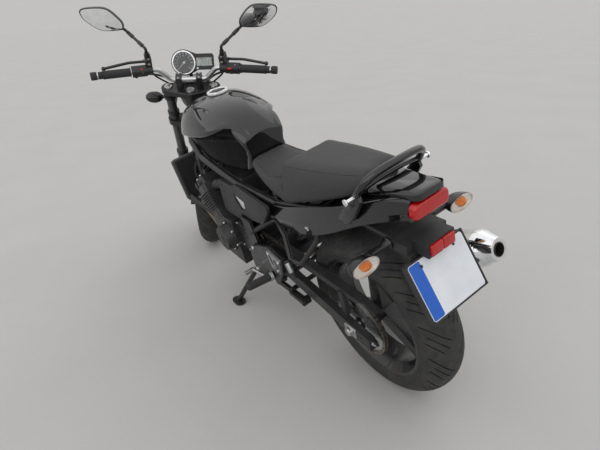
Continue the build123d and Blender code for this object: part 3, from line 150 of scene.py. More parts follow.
def softened(outline, cuts=(0.19, 0.25, 0.25)):
    """An outline with its corners cut again and again, each time by a share of the sides."""
    for cut in cuts:
        outline = [
            (ax + (bx - ax) * share, ay + (by - ay) * share)
            for (ax, ay), (bx, by) in zip(outline, outline[1:] + outline[:1])
            for share in (cut, 1 - cut)
        ]
    return outline


# Forms


def forms(count):
    """Some empty forms."""
    return [bmesh.new() for _ in range(count)]


def bevelled(form, edges, offset, segments=2):
    """Rounds some edges."""
    bmesh.ops.bevel(
        form, geom=edges, offset=offset, segments=segments, profile=0.5, affect="EDGES",
        material=-1,
    )


def edges_of(corners):
    """The edges that meet some corners, each once."""
    return list(dict.fromkeys(edge for corner in corners for edge in corner.link_edges))


def rim_of(corners):
    """The edges that join some corners."""
    return [edge for edge in edges_of(corners) if all(end in corners for end in edge.verts)]


def block(form, size, at=(0, 0, 0), where=Matrix(), rounding=0.0, segments=2):
    """A box of the given size with rounded edges."""
    made = bmesh.ops.create_cube(
        form, size=1, matrix=where @ moved(*at) @ Matrix.Diagonal((*size, 1))
    )["verts"]
    if rounding:
        bevelled(form, edges_of(made), rounding, segments)
    return form


def peg(form, radius, length, where=Matrix(), end_radius=None, steps=24, rounding=0.0):
    """A turned pin that stands on its frame's Z = 0, with its far rim rounded."""
    made = bmesh.ops.create_cone(
        form, cap_ends=True, segments=steps, radius1=radius,
        radius2=radius if end_radius is None else end_radius, depth=length,
        matrix=where @ moved(0, 0, length / 2),
    )["verts"]
    if rounding:
        top = [v for v in made if (where.inverted() @ v.co).z > length / 2]
        bevelled(form, rim_of(top), rounding)
    return form


def turned(form, profile, where=Matrix(), steps=48, closed=False):
    """A shape turned about its frame's Z from a profile of (radius, height)."""
    before = set(form.verts)
    line = [form.verts.new((radius, 0, height)) for radius, height in profile]
    edges = [form.edges.new(pair) for pair in zip(line, line[1:])]
    if closed:
        edges.append(form.edges.new((line[-1], line[0])))
    bmesh.ops.spin(
        form, geom=line + edges, cent=(0, 0, 0), axis=(0, 0, 1), dvec=(0, 0, 0), angle=tau,
        steps=steps, use_merge=True, use_duplicate=False,
    )
    made = [v for v in form.verts if v not in before]
    bmesh.ops.remove_doubles(form, verts=made, dist=0.001)
    made = [v for v in form.verts if v not in before]
    bmesh.ops.transform(form, matrix=where, verts=made)
    return form


def pressed(form, outline, depth, where=Matrix(), rounding=0.0, segments=2):
    """A plate with a drawn outline, from Z = 0 up to its depth, with rounded top edges."""
    face = form.faces.new([form.verts.new((x, y, 0)) for x, y in outline])
    made = bmesh.ops.extrude_face_region(form, geom=[face])["geom"]
    top = [item for item in made if isinstance(item, bmesh.types.BMVert)]
    bmesh.ops.translate(form, vec=(0, 0, depth), verts=top)
    bmesh.ops.transform(form, matrix=where, verts=top + list(face.verts))
    if rounding:
        bevelled(form, rim_of(top), rounding, segments)
    return form


def tube(form, points, radius, steps=10, smooth=6):
    """A bent round bar along a smooth line through its control points."""
    curve = bpy.data.curves.new("line", "CURVE")
    curve.dimensions = "3D"
    spline = curve.splines.new("NURBS")
    spline.points.add(len(points) - 1)
    for point, place in zip(spline.points, points):
        point.co = (*place, 1)
    spline.order_u = min(3, len(points))
    spline.use_endpoint_u = True
    spline.resolution_u = smooth
    curve.bevel_depth = radius
    curve.bevel_resolution = max(0, steps // 4)
    curve.use_fill_caps = True
    return curved(form, curve)


def curved(form, curve, where=Matrix()):
    """Adds a curve to a form as a mesh."""
    holder = bpy.data.objects.new("line", curve)
    mesh = bpy.data.meshes.new_from_object(holder)
    bpy.data.objects.remove(holder)
    bpy.data.curves.remove(curve)
    copies(form, mesh, [where])
    bpy.data.meshes.remove(mesh)
    return form


def screw(form, at, way, radius=5.0, head=4.0, kind="hex"):
    """A screw's head on a surface: hexagonal on a flange, or round with a hexagonal socket."""
    where = facing(at, way)
    if kind == "hex":
        peg(form, radius * 1.35, head * 0.3, where, steps=20, rounding=head * 0.12)
        peg(form, radius, head, where, steps=6, rounding=head * 0.15)
        return form
    peg(form, radius, head, where, end_radius=radius * 0.86, steps=20, rounding=head * 0.2)
    middle = where @ Vector((0, 0, head))
    face = min(form.faces, key=lambda f: (f.calc_center_median() - middle).length)
    bmesh.ops.inset_region(form, faces=[face], thickness=radius * 0.36)
    sunk = -Vector(way).normalized() * head * 0.6
    bmesh.ops.translate(form, vec=sunk, verts=list(face.verts))
    return form


def kept(form):
    """A form as a loose mesh, to be copied."""
    mesh = bpy.data.meshes.new("part")
    form.to_mesh(mesh)
    form.free()
    return mesh


def copies(form, mesh, places):
    """Adds a mesh to a form once at each place."""
    for where in places:
        count = len(form.verts)
        form.from_mesh(mesh)
        form.verts.ensure_lookup_table()
        bmesh.ops.transform(form, matrix=where, verts=form.verts[count:])
    return form


def reshaped(form, matrix):
    """A whole form taken to another frame."""
    bmesh.ops.transform(form, matrix=matrix, verts=list(form.verts))
    return form


def smoothed(form, times, factor=0.5):
    """Eases a form's skin some times."""
    for _ in range(times):
        bmesh.ops.smooth_vert(
            form, verts=list(form.verts), factor=factor, use_axis_x=True, use_axis_y=True,
            use_axis_z=True,
        )


def linked(name, data):
    """A new object in the scene."""
    made = bpy.data.objects.new(name, data)
    bpy.context.scene.collection.objects.link(made)
    return made


def evaluated(made):
    """An object's mesh as its modifiers leave it."""
    graph = bpy.context.evaluated_depsgraph_get()
    return bpy.data.meshes.new_from_object(made.evaluated_get(graph))


def skin_of(name, mesh, voxel):
    """A new object with an even skin over a mesh."""
    made = linked(name, mesh)
    even = made.modifiers.new("even", "REMESH")
    even.mode, even.voxel_size = "VOXEL", voxel
    made.data = evaluated(made)
    made.modifiers.clear()
    return made


def copied(node):
    """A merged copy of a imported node's mesh, in metres of the row frame."""
    form = bmesh.new()
    form.from_mesh(nodes[node].data)
    bmesh.ops.remove_doubles(form, verts=list(form.verts), dist=0.00002)
    return form


def piece(name, form, finish_name, body="chassis", node=None, crease=35, outward=True):
    """Places a finished form on the machine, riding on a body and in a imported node's place."""
    if outward:
        bmesh.ops.remove_doubles(form, verts=list(form.verts), dist=0.002)
        bmesh.ops.recalc_face_normals(form, faces=list(form.faces))
    reshaped(form, BARS if body in STEERED else MACHINE)
    mesh = bpy.data.meshes.new(name)
    form.to_mesh(mesh)
    form.free()
    mesh.materials.append(finish(finish_name))
    mesh.shade_smooth()
    mesh.set_sharp_from_angle(angle=radians(crease))
    made = linked(name, mesh)
    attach(made, body)
    if node:
        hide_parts(node)
    return made


# Materials


def surface(name, colour, rough, metal=0.0, coat=0.0, **sockets):
    """A material with its even values on the shader's own sockets."""
    material = bpy.data.materials.new(name)
    material.use_nodes = True
    shader = material.node_tree.nodes["Principled BSDF"]
    values = {
        "Base Color": (*colour, 1), "Roughness": rough, "Metallic": metal, "Coat Weight": coat,
        "Coat Roughness": 0.04,
    }
    for socket, value in sockets.items():
        values[socket.replace("_", " ").title().replace("Ior", "IOR")] = value
    for socket, value in values.items():
        shader.inputs[socket].default_value = value
    material.diffuse_color = (*colour, 1)
    return material, material.node_tree, shader


def added(tree, kind, **inputs):
    """A node with some of its inputs set or linked."""
    node = tree.nodes.new(kind)
    for name, value in inputs.items():
        socket = node.inputs[name.replace("_", " ")]
        if isinstance(value, bpy.types.NodeSocket):
            tree.links.new(value, socket)
        else:
            socket.default_value = value
    return node


def own_place(tree):
    """The piece's own coordinates."""
    place = tree.nodes.get("place") or tree.nodes.new("ShaderNodeTexCoord")
    place.name = "place"
    return place.outputs["Object"]


def noisy(tree, scale, detail=3.0, stretch=None):
    """A noise over the piece's own coordinates, with scale patterns a metre."""
    vector = own_place(tree)
    if stretch:
        vector = added(tree, "ShaderNodeMapping", Vector=vector, Scale=stretch).outputs[0]
    return added(
        tree, "ShaderNodeTexNoise", Vector=vector, Scale=scale, Detail=detail
    ).outputs[0]


def cells(tree, scale):
    """Grain cells over the piece's own coordinates."""
    return added(
        tree, "ShaderNodeTexVoronoi", Vector=own_place(tree), Scale=scale
    ).outputs["Distance"]


def waves(tree, scale, bands):
    """Straight waves over the piece's own coordinates."""
    texture = added(tree, "ShaderNodeTexWave", Vector=own_place(tree), Scale=scale)
    texture.wave_type, texture.bands_direction = "BANDS", bands
    return texture.outputs["Fac"]


def ranged(tree, value, start, end, low=0.0, high=1.0):
    """One range of a value laid over another."""
    return added(
        tree, "ShaderNodeMapRange", Value=value, From_Min=start, From_Max=end, To_Min=low,
        To_Max=high,
    ).outputs["Result"]


def spread(tree, value, low=0.0, high=1.0):
    """A noise's middle range laid over another range."""
    return ranged(tree, value, 0.35, 0.65, low, high)


def combined(tree, operation, first, second):
    """Two values put together."""
    made = tree.nodes.new("ShaderNodeMath")
    made.operation = operation
    tree.links.new(first, made.inputs[0])
    tree.links.new(second, made.inputs[1])
    return made.outputs[0]


def blended(tree, share, first, second):
    """A colour between two, by a share."""
    mix = tree.nodes.new("ShaderNodeMix")
    mix.data_type = "RGBA"
    tree.links.new(share, mix.inputs["Factor"])
    for socket, value in ((mix.inputs["A"], first), (mix.inputs["B"], second)):
        if isinstance(value, bpy.types.NodeSocket):
            tree.links.new(value, socket)
        else:
            socket.default_value = (*value, 1)
    return mix.outputs["Result"]


def fed(tree, shader, colour=None, rough=None):
    """Links a colour and a roughness to the shader."""
    for socket, value in (("Base Color", colour), ("Roughness", rough)):
        if value:
            tree.links.new(value, shader.inputs[socket])


def relief(tree, shader, height, depth, over=None):
    """A relief of some millimetres on the shader's normal."""
    bump = added(tree, "ShaderNodeBump", Height=height, Strength=1.0, Distance=depth / 1000)
    if over:
        tree.links.new(over.outputs[0], bump.inputs["Normal"])
    tree.links.new(bump.outputs[0], shader.inputs["Normal"])
    return bump


def moulded(name, colour, rough, metal, coat, grain, depth, patch, dust=None, uneven=0.08,
            **sockets):
    """A painted, cast or moulded finish: fine grain, uneven roughness and a trace of dust."""
    material, tree, shader = surface(name, colour, rough, metal, coat, **sockets)
    cloud = noisy(tree, patch, 4)
    tint = dust or tuple(min(1, c * 1.35 + 0.002) for c in colour)
    share = spread(tree, noisy(tree, patch * 2.3, 6), 0, 0.5 if dust else 1)
    fed(tree, shader, blended(tree, share, colour, tint),
        spread(tree, cloud, max(0.02, rough - uneven), rough + uneven))
    relief(tree, shader, noisy(tree, grain, 2), depth)
    return material


def plain(name, colour, rough, metal=0.0, coat=0.0, dust=None):
    """A small part's even finish with fine mottling."""
    return moulded(name, colour, rough, metal, coat, 1600, 0.01, 40, dust, 0.05)


def lacquer(name, *values):
    """Deep black paint under clear lacquer."""
    return moulded(name, *values, specular_ior_level=0.05, coat_ior=1.62)


def satin(name, *values):
    """Black without a lacquer's mirror, so that it renders dark: painted shade."""
    return moulded(name, *values, specular_ior_level=0.04)


def brushed(name, colour, rough, stretch, lines, depth, tint=None):
    """A metal ground or brushed along one way."""
    material, tree, shader = surface(name, colour, rough, 1.0)
    grooves = noisy(tree, lines, 2, stretch)
    cloud = spread(tree, noisy(tree, 11, 4))
    fed(tree, shader, blended(tree, cloud, colour, tint or tuple(c * 0.82 for c in colour)),
        spread(tree, grooves, rough - 0.1, rough + 0.12))
    relief(tree, shader, grooves, depth)
    return material


def heated(name, colour, rough):
    """Stainless pipes, browned and blued by heat towards the head."""
    material, tree, shader = surface(name, colour, rough, 1.0)
    grain = noisy(tree, 260, 3)
    warm = blended(tree, spread(tree, noisy(tree, 9, 4)), (0.3, 0.24, 0.18), (0.38, 0.33, 0.28))
    place = added(tree, "ShaderNodeSeparateXYZ", Vector=own_place(tree))
    height = ranged(tree, place.outputs["Z"], 0.37, 0.52)
    fed(tree, shader, blended(tree, height, warm, (0.17, 0.12, 0.15)),
        spread(tree, grain, 0.2, 0.42))
    relief(tree, shader, grain, 0.03)
    return material


def pleated(name, colour, rough):
    """Black radiator core: pleated fins between flat tubes."""
    material, tree, shader = surface(name, colour, rough, 0.2)
    height = combined(tree, "MULTIPLY", waves(tree, 55.0, "Z"), waves(tree, 200.0, "Y"))
    relief(tree, shader, height, 1.2)
    # the core's colour follows the relief, darker in the grooves and lighter on the crests:
    # painted shade and highlight between the fins
    fed(tree, shader, blended(tree, height, (0.006, 0.006, 0.006), (0.035, 0.035, 0.036)))
    return material


def glass(name, colour, rough, bend):
    """Clear glass or lens plastic."""
    material, tree, shader = surface(name, colour, rough, transmission_weight=1.0, ior=bend)
    fed(tree, shader, rough=spread(tree, noisy(tree, 25, 3), rough, rough + 0.05))
    return material


def lens(name, colour, depth, ribs):
    """Coloured lens plastic with moulded ribs inside."""
    material, tree, shader = surface(name, colour, 0.14, coat=0.3, ior=1.49)
    wave = waves(tree, ribs / 3, "Y")
    fed(tree, shader, blended(tree, wave, tuple(c * 0.72 for c in colour), colour))
    relief(tree, shader, wave, depth)
    return material


def vinyl(name, colour, rough):
    """Leather-grained vinyl, slightly worn in random patches."""
    material, tree, shader = surface(name, colour, rough, sheen_weight=0.15)
    cloud = noisy(tree, 9, 5)
    # both colours are lighter and bluer than the black vinyl: painted sky light on it, mottled at
    # random
    fed(tree, shader,
        blended(tree, spread(tree, cloud), (0.034, 0.037, 0.042), (0.048, 0.052, 0.058)),
        spread(tree, cloud, 0.42, 0.6))
    fine = relief(tree, shader, noisy(tree, 2200, 2), 0.03)
    relief(tree, shader, cells(tree, 620), 0.16, over=fine)
    return material


def sheeting(name, colour, rough):
    """White reflective sheet."""
    material, tree, shader = surface(name, colour, rough, coat=0.3)
    relief(tree, shader, cells(tree, 700), 0.02)
    cloud = spread(tree, noisy(tree, 14, 4))
    fed(tree, shader, blended(tree, cloud, (0.74, 0.76, 0.8), (0.66, 0.68, 0.71)))
    return material


# For moulded finishes: colour, roughness, metal, coat, grains a metre, relief in millimetres,
# patches a metre, colour of the dust and unevenness of the roughness
FINISHES = {
    "gloss_black_paint": (
        lacquer, (0.003, 0.0032, 0.004), 0.3, 0, 1, 420, 0.003, 6, None, 0.03),
    # black that reflects almost nothing for the knee recesses: painted shade
    "satin_knee_black": (satin, (0.0035, 0.0035, 0.004), 0.3, 0, 0, 900, 0.01, 8),
    "satin_black_frame": (
        moulded, (0.011, 0.011, 0.012), 0.34, 0, 0, 1500, 0.03, 9, (0.03, 0.029, 0.027)),
    "engine_enamel": (
        moulded, (0.014, 0.014, 0.015), 0.46, 0, 0, 850, 0.12, 13, (0.042, 0.04, 0.036)),
    "matte_black_plastic": (
        moulded, (0.017, 0.017, 0.018), 0.55, 0, 0, 1900, 0.09, 8, (0.034, 0.033, 0.031)),
    "gloss_black_moulding": (
        moulded, (0.007, 0.007, 0.0078), 0.24, 0, 0, 500, 0.008, 7, None, 0.05),
    "wheel_enamel": (
        moulded, (0.009, 0.009, 0.01), 0.27, 0, 0.25, 700, 0.02, 10, (0.032, 0.028, 0.024)),
    "tyre_rubber": (
        moulded, (0.017, 0.017, 0.0175), 0.72, 0, 0, 1100, 0.1, 17, (0.05, 0.047, 0.042)),
    "grip_rubber": (
        moulded, (0.014, 0.014, 0.0145), 0.72, 0, 0, 1100, 0.1, 17, (0.026, 0.025, 0.024)),
    "hose_sheath": (
        moulded, (0.012, 0.012, 0.0125), 0.42, 0, 0, 1300, 0.03, 20, (0.03, 0.029, 0.027)),
    "cast_aluminium": (
        moulded, (0.72, 0.73, 0.74), 0.38, 0.6, 0, 1000, 0.09, 12, (0.56, 0.56, 0.55)),
    "silver_coat": (
        moulded, (0.55, 0.55, 0.56), 0.3, 1, 0.3, 1300, 0.015, 9, (0.42, 0.42, 0.42)),
    "dark_grey_metallic": (moulded, (0.07, 0.07, 0.075), 0.33, 0.7, 0.4, 1500, 0.015, 9),
    "hard_chrome": (moulded, (0.7, 0.71, 0.73), 0.09, 1, 0, 600, 0.004, 9, None, 0.03),
    "plated_steel": (
        moulded, (0.56, 0.56, 0.57), 0.3, 1, 0, 1400, 0.03, 21, (0.4, 0.38, 0.35)),
    "oiled_chain_steel": (
        moulded, (0.3, 0.28, 0.25), 0.34, 1, 0, 900, 0.06, 60, (0.1, 0.085, 0.07)),
    "mirror_silver": (moulded, (0.86, 0.88, 0.89), 0.02, 1, 0, 40, 0.001, 14, None, 0.01),
    "ground_disc_steel": (brushed, (0.5, 0.5, 0.5), 0.27, (1, 6, 1), 500, 0.015),
    "brushed_stainless": (
        brushed, (0.58, 0.56, 0.54), 0.3, (0.35, 7, 7), 420, 0.02, (0.5, 0.48, 0.45)),
    "heated_stainless": (heated, (0.32, 0.27, 0.22), 0.3),
    "radiator_core": (pleated, (0.02, 0.02, 0.021), 0.5),
    "clear_glass": (glass, (0.95, 0.97, 0.98), 0.02, 1.45),
    "indicator_lens": (glass, (0.97, 0.95, 0.92), 0.04, 1.22),
    "tail_lamp_red": (lens, (0.5, 0.012, 0.008), 0.4, 260.0),
    # bluish grey: painted sky light on black vinyl
    "seat_vinyl": (vinyl, (0.04, 0.043, 0.048), 0.5),
    "plate_sheet": (sheeting, (0.72, 0.74, 0.78), 0.32),
    "bezel_silver": (plain, (0.66, 0.67, 0.68), 0.3, 1),
    "dial_black": (plain, (0.008, 0.008, 0.009), 0.6),
    "pale_print": (plain, (0.75, 0.76, 0.74), 0.6),
    "needle_white": (plain, (0.6, 0.6, 0.58), 0.45),
    "display_grey": (plain, (0.36, 0.4, 0.35), 0.35, 0, 0.5),
    "display_ink": (plain, (0.03, 0.034, 0.03), 0.5),
    "unlit_lamps": (plain, (0.05, 0.018, 0.012), 0.25, 0, 0.6),
    "switch_red": (plain, (0.5, 0.02, 0.012), 0.42),
    "sight_amber": (plain, (0.34, 0.31, 0.24), 0.16, 0, 1),
    # black of the key's slot: painted shade
    "keyway_black": (plain, (0.004, 0.004, 0.004), 0.6),
    "cap_silver": (plain, (0.8, 0.8, 0.81), 0.34, 1),
    # black for holes and keyholes: painted shade
    "dark_hole": (plain, (0.004, 0.004, 0.004), 0.7),
    "lamp_silvering": (plain, (0.9, 0.9, 0.89), 0.22, 0.15, 0, (0.86, 0.86, 0.85)),
    "plate_blue": (plain, (0.007, 0.1, 0.5), 0.34, 0, 0, (0.008, 0.115, 0.52)),
    "sooted_steel": (plain, (0.03, 0.028, 0.026), 0.5, 0.7),
    "spring_enamel": (plain, (0.02, 0.02, 0.022), 0.3, 0, 0.5),
}
NODE_FINISH = {
    "wheel_enamel": "front_rim rear_rim",
    "ground_disc_steel": "front_discs rear_disc",
    "plated_steel": "rear_sprocket engine_sprocket front_axle rear_axle pivot_bolt foot_levers",
    "dark_grey_metallic": "fork_sliders fork_tubes",
    "silver_coat": "handlebar",
    "mirror_silver": "mirror_glass",
    "satin_black_frame": "front_calipers rear_caliper lower_yoke top_yoke lamp_brackets levers"
                         " main_frame swingarm rear_shock side_stand centre_stand"
                         " footrest_hangers",
    "cast_aluminium": "heel_guards fuel_cap",
    "engine_enamel": "engine_block engine_top sprocket_cover",
    "matte_black_plastic": "switchgear instruments airbox side_panels rear_mudguard chain_guard",
    "tyre_rubber": "front_tyre rear_tyre",
    "gloss_black_moulding": "mirrors front_indicators grab_rail rear_indicators",
    "gloss_black_paint": "headlight front_guard fuel_tank tail_cowl",
    "radiator_core": "radiator",
    "brushed_stainless": "silencer",
    "heated_stainless": "exhaust_headers",
    "seat_vinyl": "seat",
    "oiled_chain_steel": "drive_chain",
    "hose_sheath": "control_cables",
    "clear_glass": "headlight_lens rear_indicator_lenses",
    "plate_sheet": "number_plate",
    "grip_rubber": "grips footrests",
    "tail_lamp_red": "tail_lamp",
}


def finish(name):
    """The finish of a name, made at its first use."""
    made = bpy.data.materials.get(name)
    if made:
        return made
    maker, *values = FINISHES[name]
    return maker(name, *values)


# Tyres

BEAD = 222
# Places of a pitch's lines, as shares of the pitch: lines 1 and 2 are the floor of its long
# and short grooves, and 6 and 7 that of the groove between them
GROOVE_LINES = (-0.05, -0.03, 0.03, 0.05, 0.25, 0.45, 0.47, 0.53, 0.55, 0.75)


def sunk(pitch, number, share, left):
    """How deep a tread line lies at a share of the half width, from 0 to 1."""
    long = left if pitch % 2 == 0 else not left
    if number in (1, 2) and share < 0.93 and share > (0.1 if long else 0.52):
        return 1.0
    if number in (6, 7) and 0.3 < share < 0.8 and not long:
        return 0.85
    return 0.0


def tread(name, node, body, axle, radius, width, crown, bead, pitches, depth):
    """A tyre with curved rain grooves, turned from its section in a slant that follows them."""
    limit = asin(min(1, (width / 2 - 1.5) / crown))
    section = []
    for step in range(-15, 16):
        angle = limit * step / 15
        section.append((radius - crown * (1 - cos(angle)) - 0.6, crown * sin(angle)))
    shoulder, edge = section[-1]
    wall = [
        (shoulder - 8, edge + 0.9), (shoulder - 17, edge + 0.7), (shoulder - 19, edge - 0.6),
        ((shoulder + BEAD) / 2 - 2, edge - 2.2), (BEAD + 11, bead + 4), (BEAD + 8, bead + 2.6),
        (BEAD + 2, bead),
    ]
    section = [(r, -y) for r, y in reversed(wall)] + section + wall
    steps = pitches * len(GROOVE_LINES)

    def slant(y):
        return 1.5 * (abs(y) / (width / 2)) ** 1.35 * tau / pitches

    form = bmesh.new()
    line = [form.verts.new((r * cos(slant(y)), r * sin(slant(y)), y)) for r, y in section]
    edges = [form.edges.new(pair) for pair in zip(line, line[1:])]
    bmesh.ops.spin(
        form, geom=line + edges, cent=(0, 0, 0), axis=(0, 0, 1), dvec=(0, 0, 0), angle=tau,
        steps=steps, use_merge=True, use_duplicate=False,
    )
    bmesh.ops.remove_doubles(form, verts=list(form.verts), dist=0.02)
    for vertex in form.verts:
        x, y, across = vertex.co
        r = hypot(x, y)
        angle = (atan2(y, x) - slant(across)) % tau
        pitch, number = divmod(round(angle / (tau / steps)) % steps, len(GROOVE_LINES))
        angle = slant(across) + (pitch + GROOVE_LINES[number]) * tau / pitches
        if r >= shoulder - 1:
            r -= sunk(pitch, number, abs(across) / (width / 2), across > 0) * depth
        vertex.co = (r * cos(angle), r * sin(angle), across)
    reshaped(form, moved(*AXLES[axle]) @ spun(-90, "X"))
    piece(name, form, "tyre_rubber", body, node, crease=32)


class TyreSettings(PropertyGroup):
    """The tyres' tread."""

    groove_depth: FloatProperty(
        name="Groove depth", description="Depth of the rain grooves in millimetres", default=5.5,
        min=1, max=9,
    )
    pitches: IntProperty(
        name="Groove pairs", description="Repeats of the tread round the rear tyre", default=30,
        min=12, max=60,
    )


class MOTORCYCLE_OT_tyres(Operator):
    """Front and rear tyres with curved grooves"""

    bl_idname = "motorcycle.tyres"
    bl_label = "Tyres"

    def execute(self, context):
        chosen = context.scene.motorcycle_tyres
        tread("rear_tread", "rear_tyre", "rear_wheel", "rear", 312, 160, 92, 68,
              chosen.pitches, chosen.groove_depth)
        tread("front_tread", "front_tyre", "front_wheel", "front", 300, 120, 66, 50,
              round(chosen.pitches * 0.95), chosen.groove_depth * 0.9)
        return {"FINISHED"}


# Seat


def stuffed(made, cap, pinned, frames=18):
    """Blows a skin up a little under its cover, by no more than the cap."""
    scene = bpy.context.scene
    start = [v.co.copy() for v in made.data.vertices]
    held = made.vertex_groups.new(name="held")
    held.add([i for i, co in enumerate(start) if pinned(co)], 1.0, "REPLACE")
    cloth = made.modifiers.new("cover", "CLOTH")
    cloth.settings.quality = 4
    cloth.settings.use_pressure = True
    cloth.settings.uniform_pressure_force = 4
    cloth.settings.effector_weights.gravity = 0
    cloth.settings.vertex_group_mass = "held"
    cloth.settings.tension_stiffness = 20
    cloth.point_cache.frame_end = frames
    for number in range(1, frames + 1):
        scene.frame_set(number)
    blown = evaluated(made)
    for vertex, first in zip(blown.vertices, start):
        step = vertex.co - first
        if step.length > cap:
            vertex.co = first + step.normalized() * cap
    made.modifiers.clear()
    made.data = blown
    scene.frame_set(1)


class SeatSettings(PropertyGroup):
    """The seat's cover."""

    softness: FloatProperty(
        name="Softness", description="How far the cover may swell", default=0.006, min=0.001,
        max=0.02, unit="LENGTH",
    )


class MOTORCYCLE_OT_seat(Operator):
    """Stepped seat in grained vinyl, with its seams"""

    bl_idname = "motorcycle.seat"
    bl_label = "Seat"

    def execute(self, context):
        upright = MACHINE.inverted()

        def low(co):
            x, _, z = upright @ co
            return z < 704 + (-(x + 470) * 0.36 if x < -470 else max(0.0, x + 486) * 0.21)

        made = skin_of("seat_cover", kept(copied("seat")), 0.0055)
        stuffed(made, context.scene.motorcycle_seat.softness, low)
        form = bmesh.new()
        form.from_mesh(made.data)
        reshaped(form, upright)
        smoothed(form, 28)
        for vertex in form.verts:
            x, y, z = vertex.co
            half = 118 if x > -560 else 118 - (-560 - x) * 0.15
            side = min(1.0, abs(y) / half)
            # a shallow dish for the rider
            if x > -470 and z > 740:
                vertex.co.z -= 4 * (1 - side ** 2) * max(0.0, 1 - abs(x + 380) / 90)
            # folds that run out from the step at both sides
            fold = noise.noise(Vector((x * 0.03, y * 0.045, z * 0.03)))
            near = max(0.0, 1 - abs(x + 472) / 46)
            vertex.co += vertex.normal * (fold * 1.6 * near + fold * 0.5)
        bmesh.ops.subdivide_edges(
            form, edges=list(form.edges), cuts=1, use_grid_fill=True, smooth=1.0
        )
        reshaped(form, MACHINE)
        form.to_mesh(made.data)
        form.free()
        made.data.materials.clear()
        made.data.materials.append(finish("seat_vinyl"))
        made.data.shade_smooth()
        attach(made, "chassis")
        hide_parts("seat")

        # seams laid on the cover
        context.view_layer.update()
        form = bmesh.new()
        runs = [[(-466, y, z) for y, z in (
            (-122, 700), (-121, 745), (-116, 785), (-104, 812), (-60, 822), (0, 824), (60, 822),
            (104, 812), (116, 785), (121, 745), (122, 700))]]
        for side in SIDES:
            for line in (
                ((-228, 76, 790), (-290, 92, 778), (-350, 103, 774), (-410, 108, 784),
                 (-452, 110, 800)),
                ((-482, 106, 842), (-540, 105, 850), (-620, 102, 862), (-700, 94, 872),
                 (-780, 82, 882), (-826, 68, 886)),
            ):
                runs.append([(x, side * half, z) for x, half, z in line])
        for run in runs:
            found = [made.closest_point_on_mesh(MACHINE @ Vector(point)) for point in run]
            laid = [upright @ (at + way * 0.0003) for _, at, way, _ in found]
            tube(form, laid, 1.5, steps=8, smooth=10)
        piece("seat_seams", form, "seat_vinyl")
        return {"FINISHED"}


# Chain


class MOTORCYCLE_OT_chain(Operator):
    """Drive chain with rollers, pins and waisted plates"""

    bl_idname = "motorcycle.chain"
    bl_label = "Chain"

    def execute(self, context):
        big, small = Vector((-735, 312)), Vector((-84, 388))
        big_radius, small_radius = 113.79, 40.69
        way = small - big
        run = (way.length ** 2 - (big_radius - small_radius) ** 2) ** 0.5
        lean, reach = atan2(way.y, way.x), atan2(run, big_radius - small_radius)
        top, low = lean + reach, lean - reach
        arc = (top - low) * small_radius
        whole = 2 * run + arc + (tau - (top - low)) * big_radius
        count = 2 * round(whole / 15.875 / 2)

        def on_rim(centre, radius, angle):
            return centre + Vector((cos(angle), sin(angle))) * radius

        def on_path(s):
            if s < run:
                return on_rim(big, big_radius, top).lerp(
                    on_rim(small, small_radius, top), s / run)
            s -= run
            if s < arc:
                return on_rim(small, small_radius, top - s / small_radius)
            s -= arc
            if s < run:
                return on_rim(small, small_radius, low).lerp(
                    on_rim(big, big_radius, low), s / run)
            return on_rim(big, big_radius, low - (s - run) / big_radius)

        points = [on_path(whole * k / count) for k in range(count)]
        half = whole / count / 2
        waist = [(-half - 6.6, 0), (-half - 4.6, -4.7), (-half, -6.6), (0, -4.6), (half, -6.6),
                 (half + 4.6, -4.7)]
        waist += [(-x, -y) for x, y in waist]
        links = []
        for inside, outside, radius, wide, steps in (
            (5.0, 6.4, 5.05, 9.6, 10), (6.6, 8.0, 2.6, 17, 8),
        ):
            part = bmesh.new()
            for side in SIDES:
                base = min(side * inside, side * outside)
                pressed(part, waist, outside - inside, moved(0, 0, base))
            for end in SIDES:
                peg(part, radius, wide, moved(end * half, 0, -wide / 2), steps=steps)
            links.append(kept(part))
        form = bmesh.new()
        for number, (a, b) in enumerate(zip(points, points[1:] + points[:1])):
            middle = (a + b) / 2
            angle = atan2(b.y - a.y, b.x - a.x)
            where = side_frame(middle.x, 98, middle.y) @ Matrix.Rotation(angle, 4, "Z")
            copies(form, links[number % 2], [where])
        bmesh.ops.recalc_face_normals(form, faces=list(form.faces))
        piece("chain_links", form, "oiled_chain_steel", node="drive_chain",
              outward=False)
        return {"FINISHED"}


# Instruments

DISPLAY = (91, 2)
DIGITS = {"0": "abcdef", "2": "abged", "4": "fgbc"}
DIGIT_BARS = {
    "a": (0, 1), "g": (0, 0), "d": (0, -1), "b": (0.5, 0.5), "f": (-0.5, 0.5),
    "c": (0.5, -0.5), "e": (-0.5, -0.5),
}


def written(form, text, size, where):
    """Raised figures on a plate."""
    curve = bpy.data.curves.new("figures", "FONT")
    curve.body = text
    curve.size = size
    curve.extrude = 0.15
    curve.align_x, curve.align_y = "CENTER", "CENTER"
    curve.resolution_u = 2
    curved(form, curve, where)


def digit(form, figure, size, at):
    """A seven-bar figure on the display."""
    for bar in DIGITS[figure]:
        x, y = DIGIT_BARS[bar]
        wide, high = (0.86, 0.14) if bar in "agd" else (0.14, 0.86)
        block(form, (wide * size, high * size, 0.2),
              (at[0] + x * size, at[1] + y * size, -2.2), DIAL)


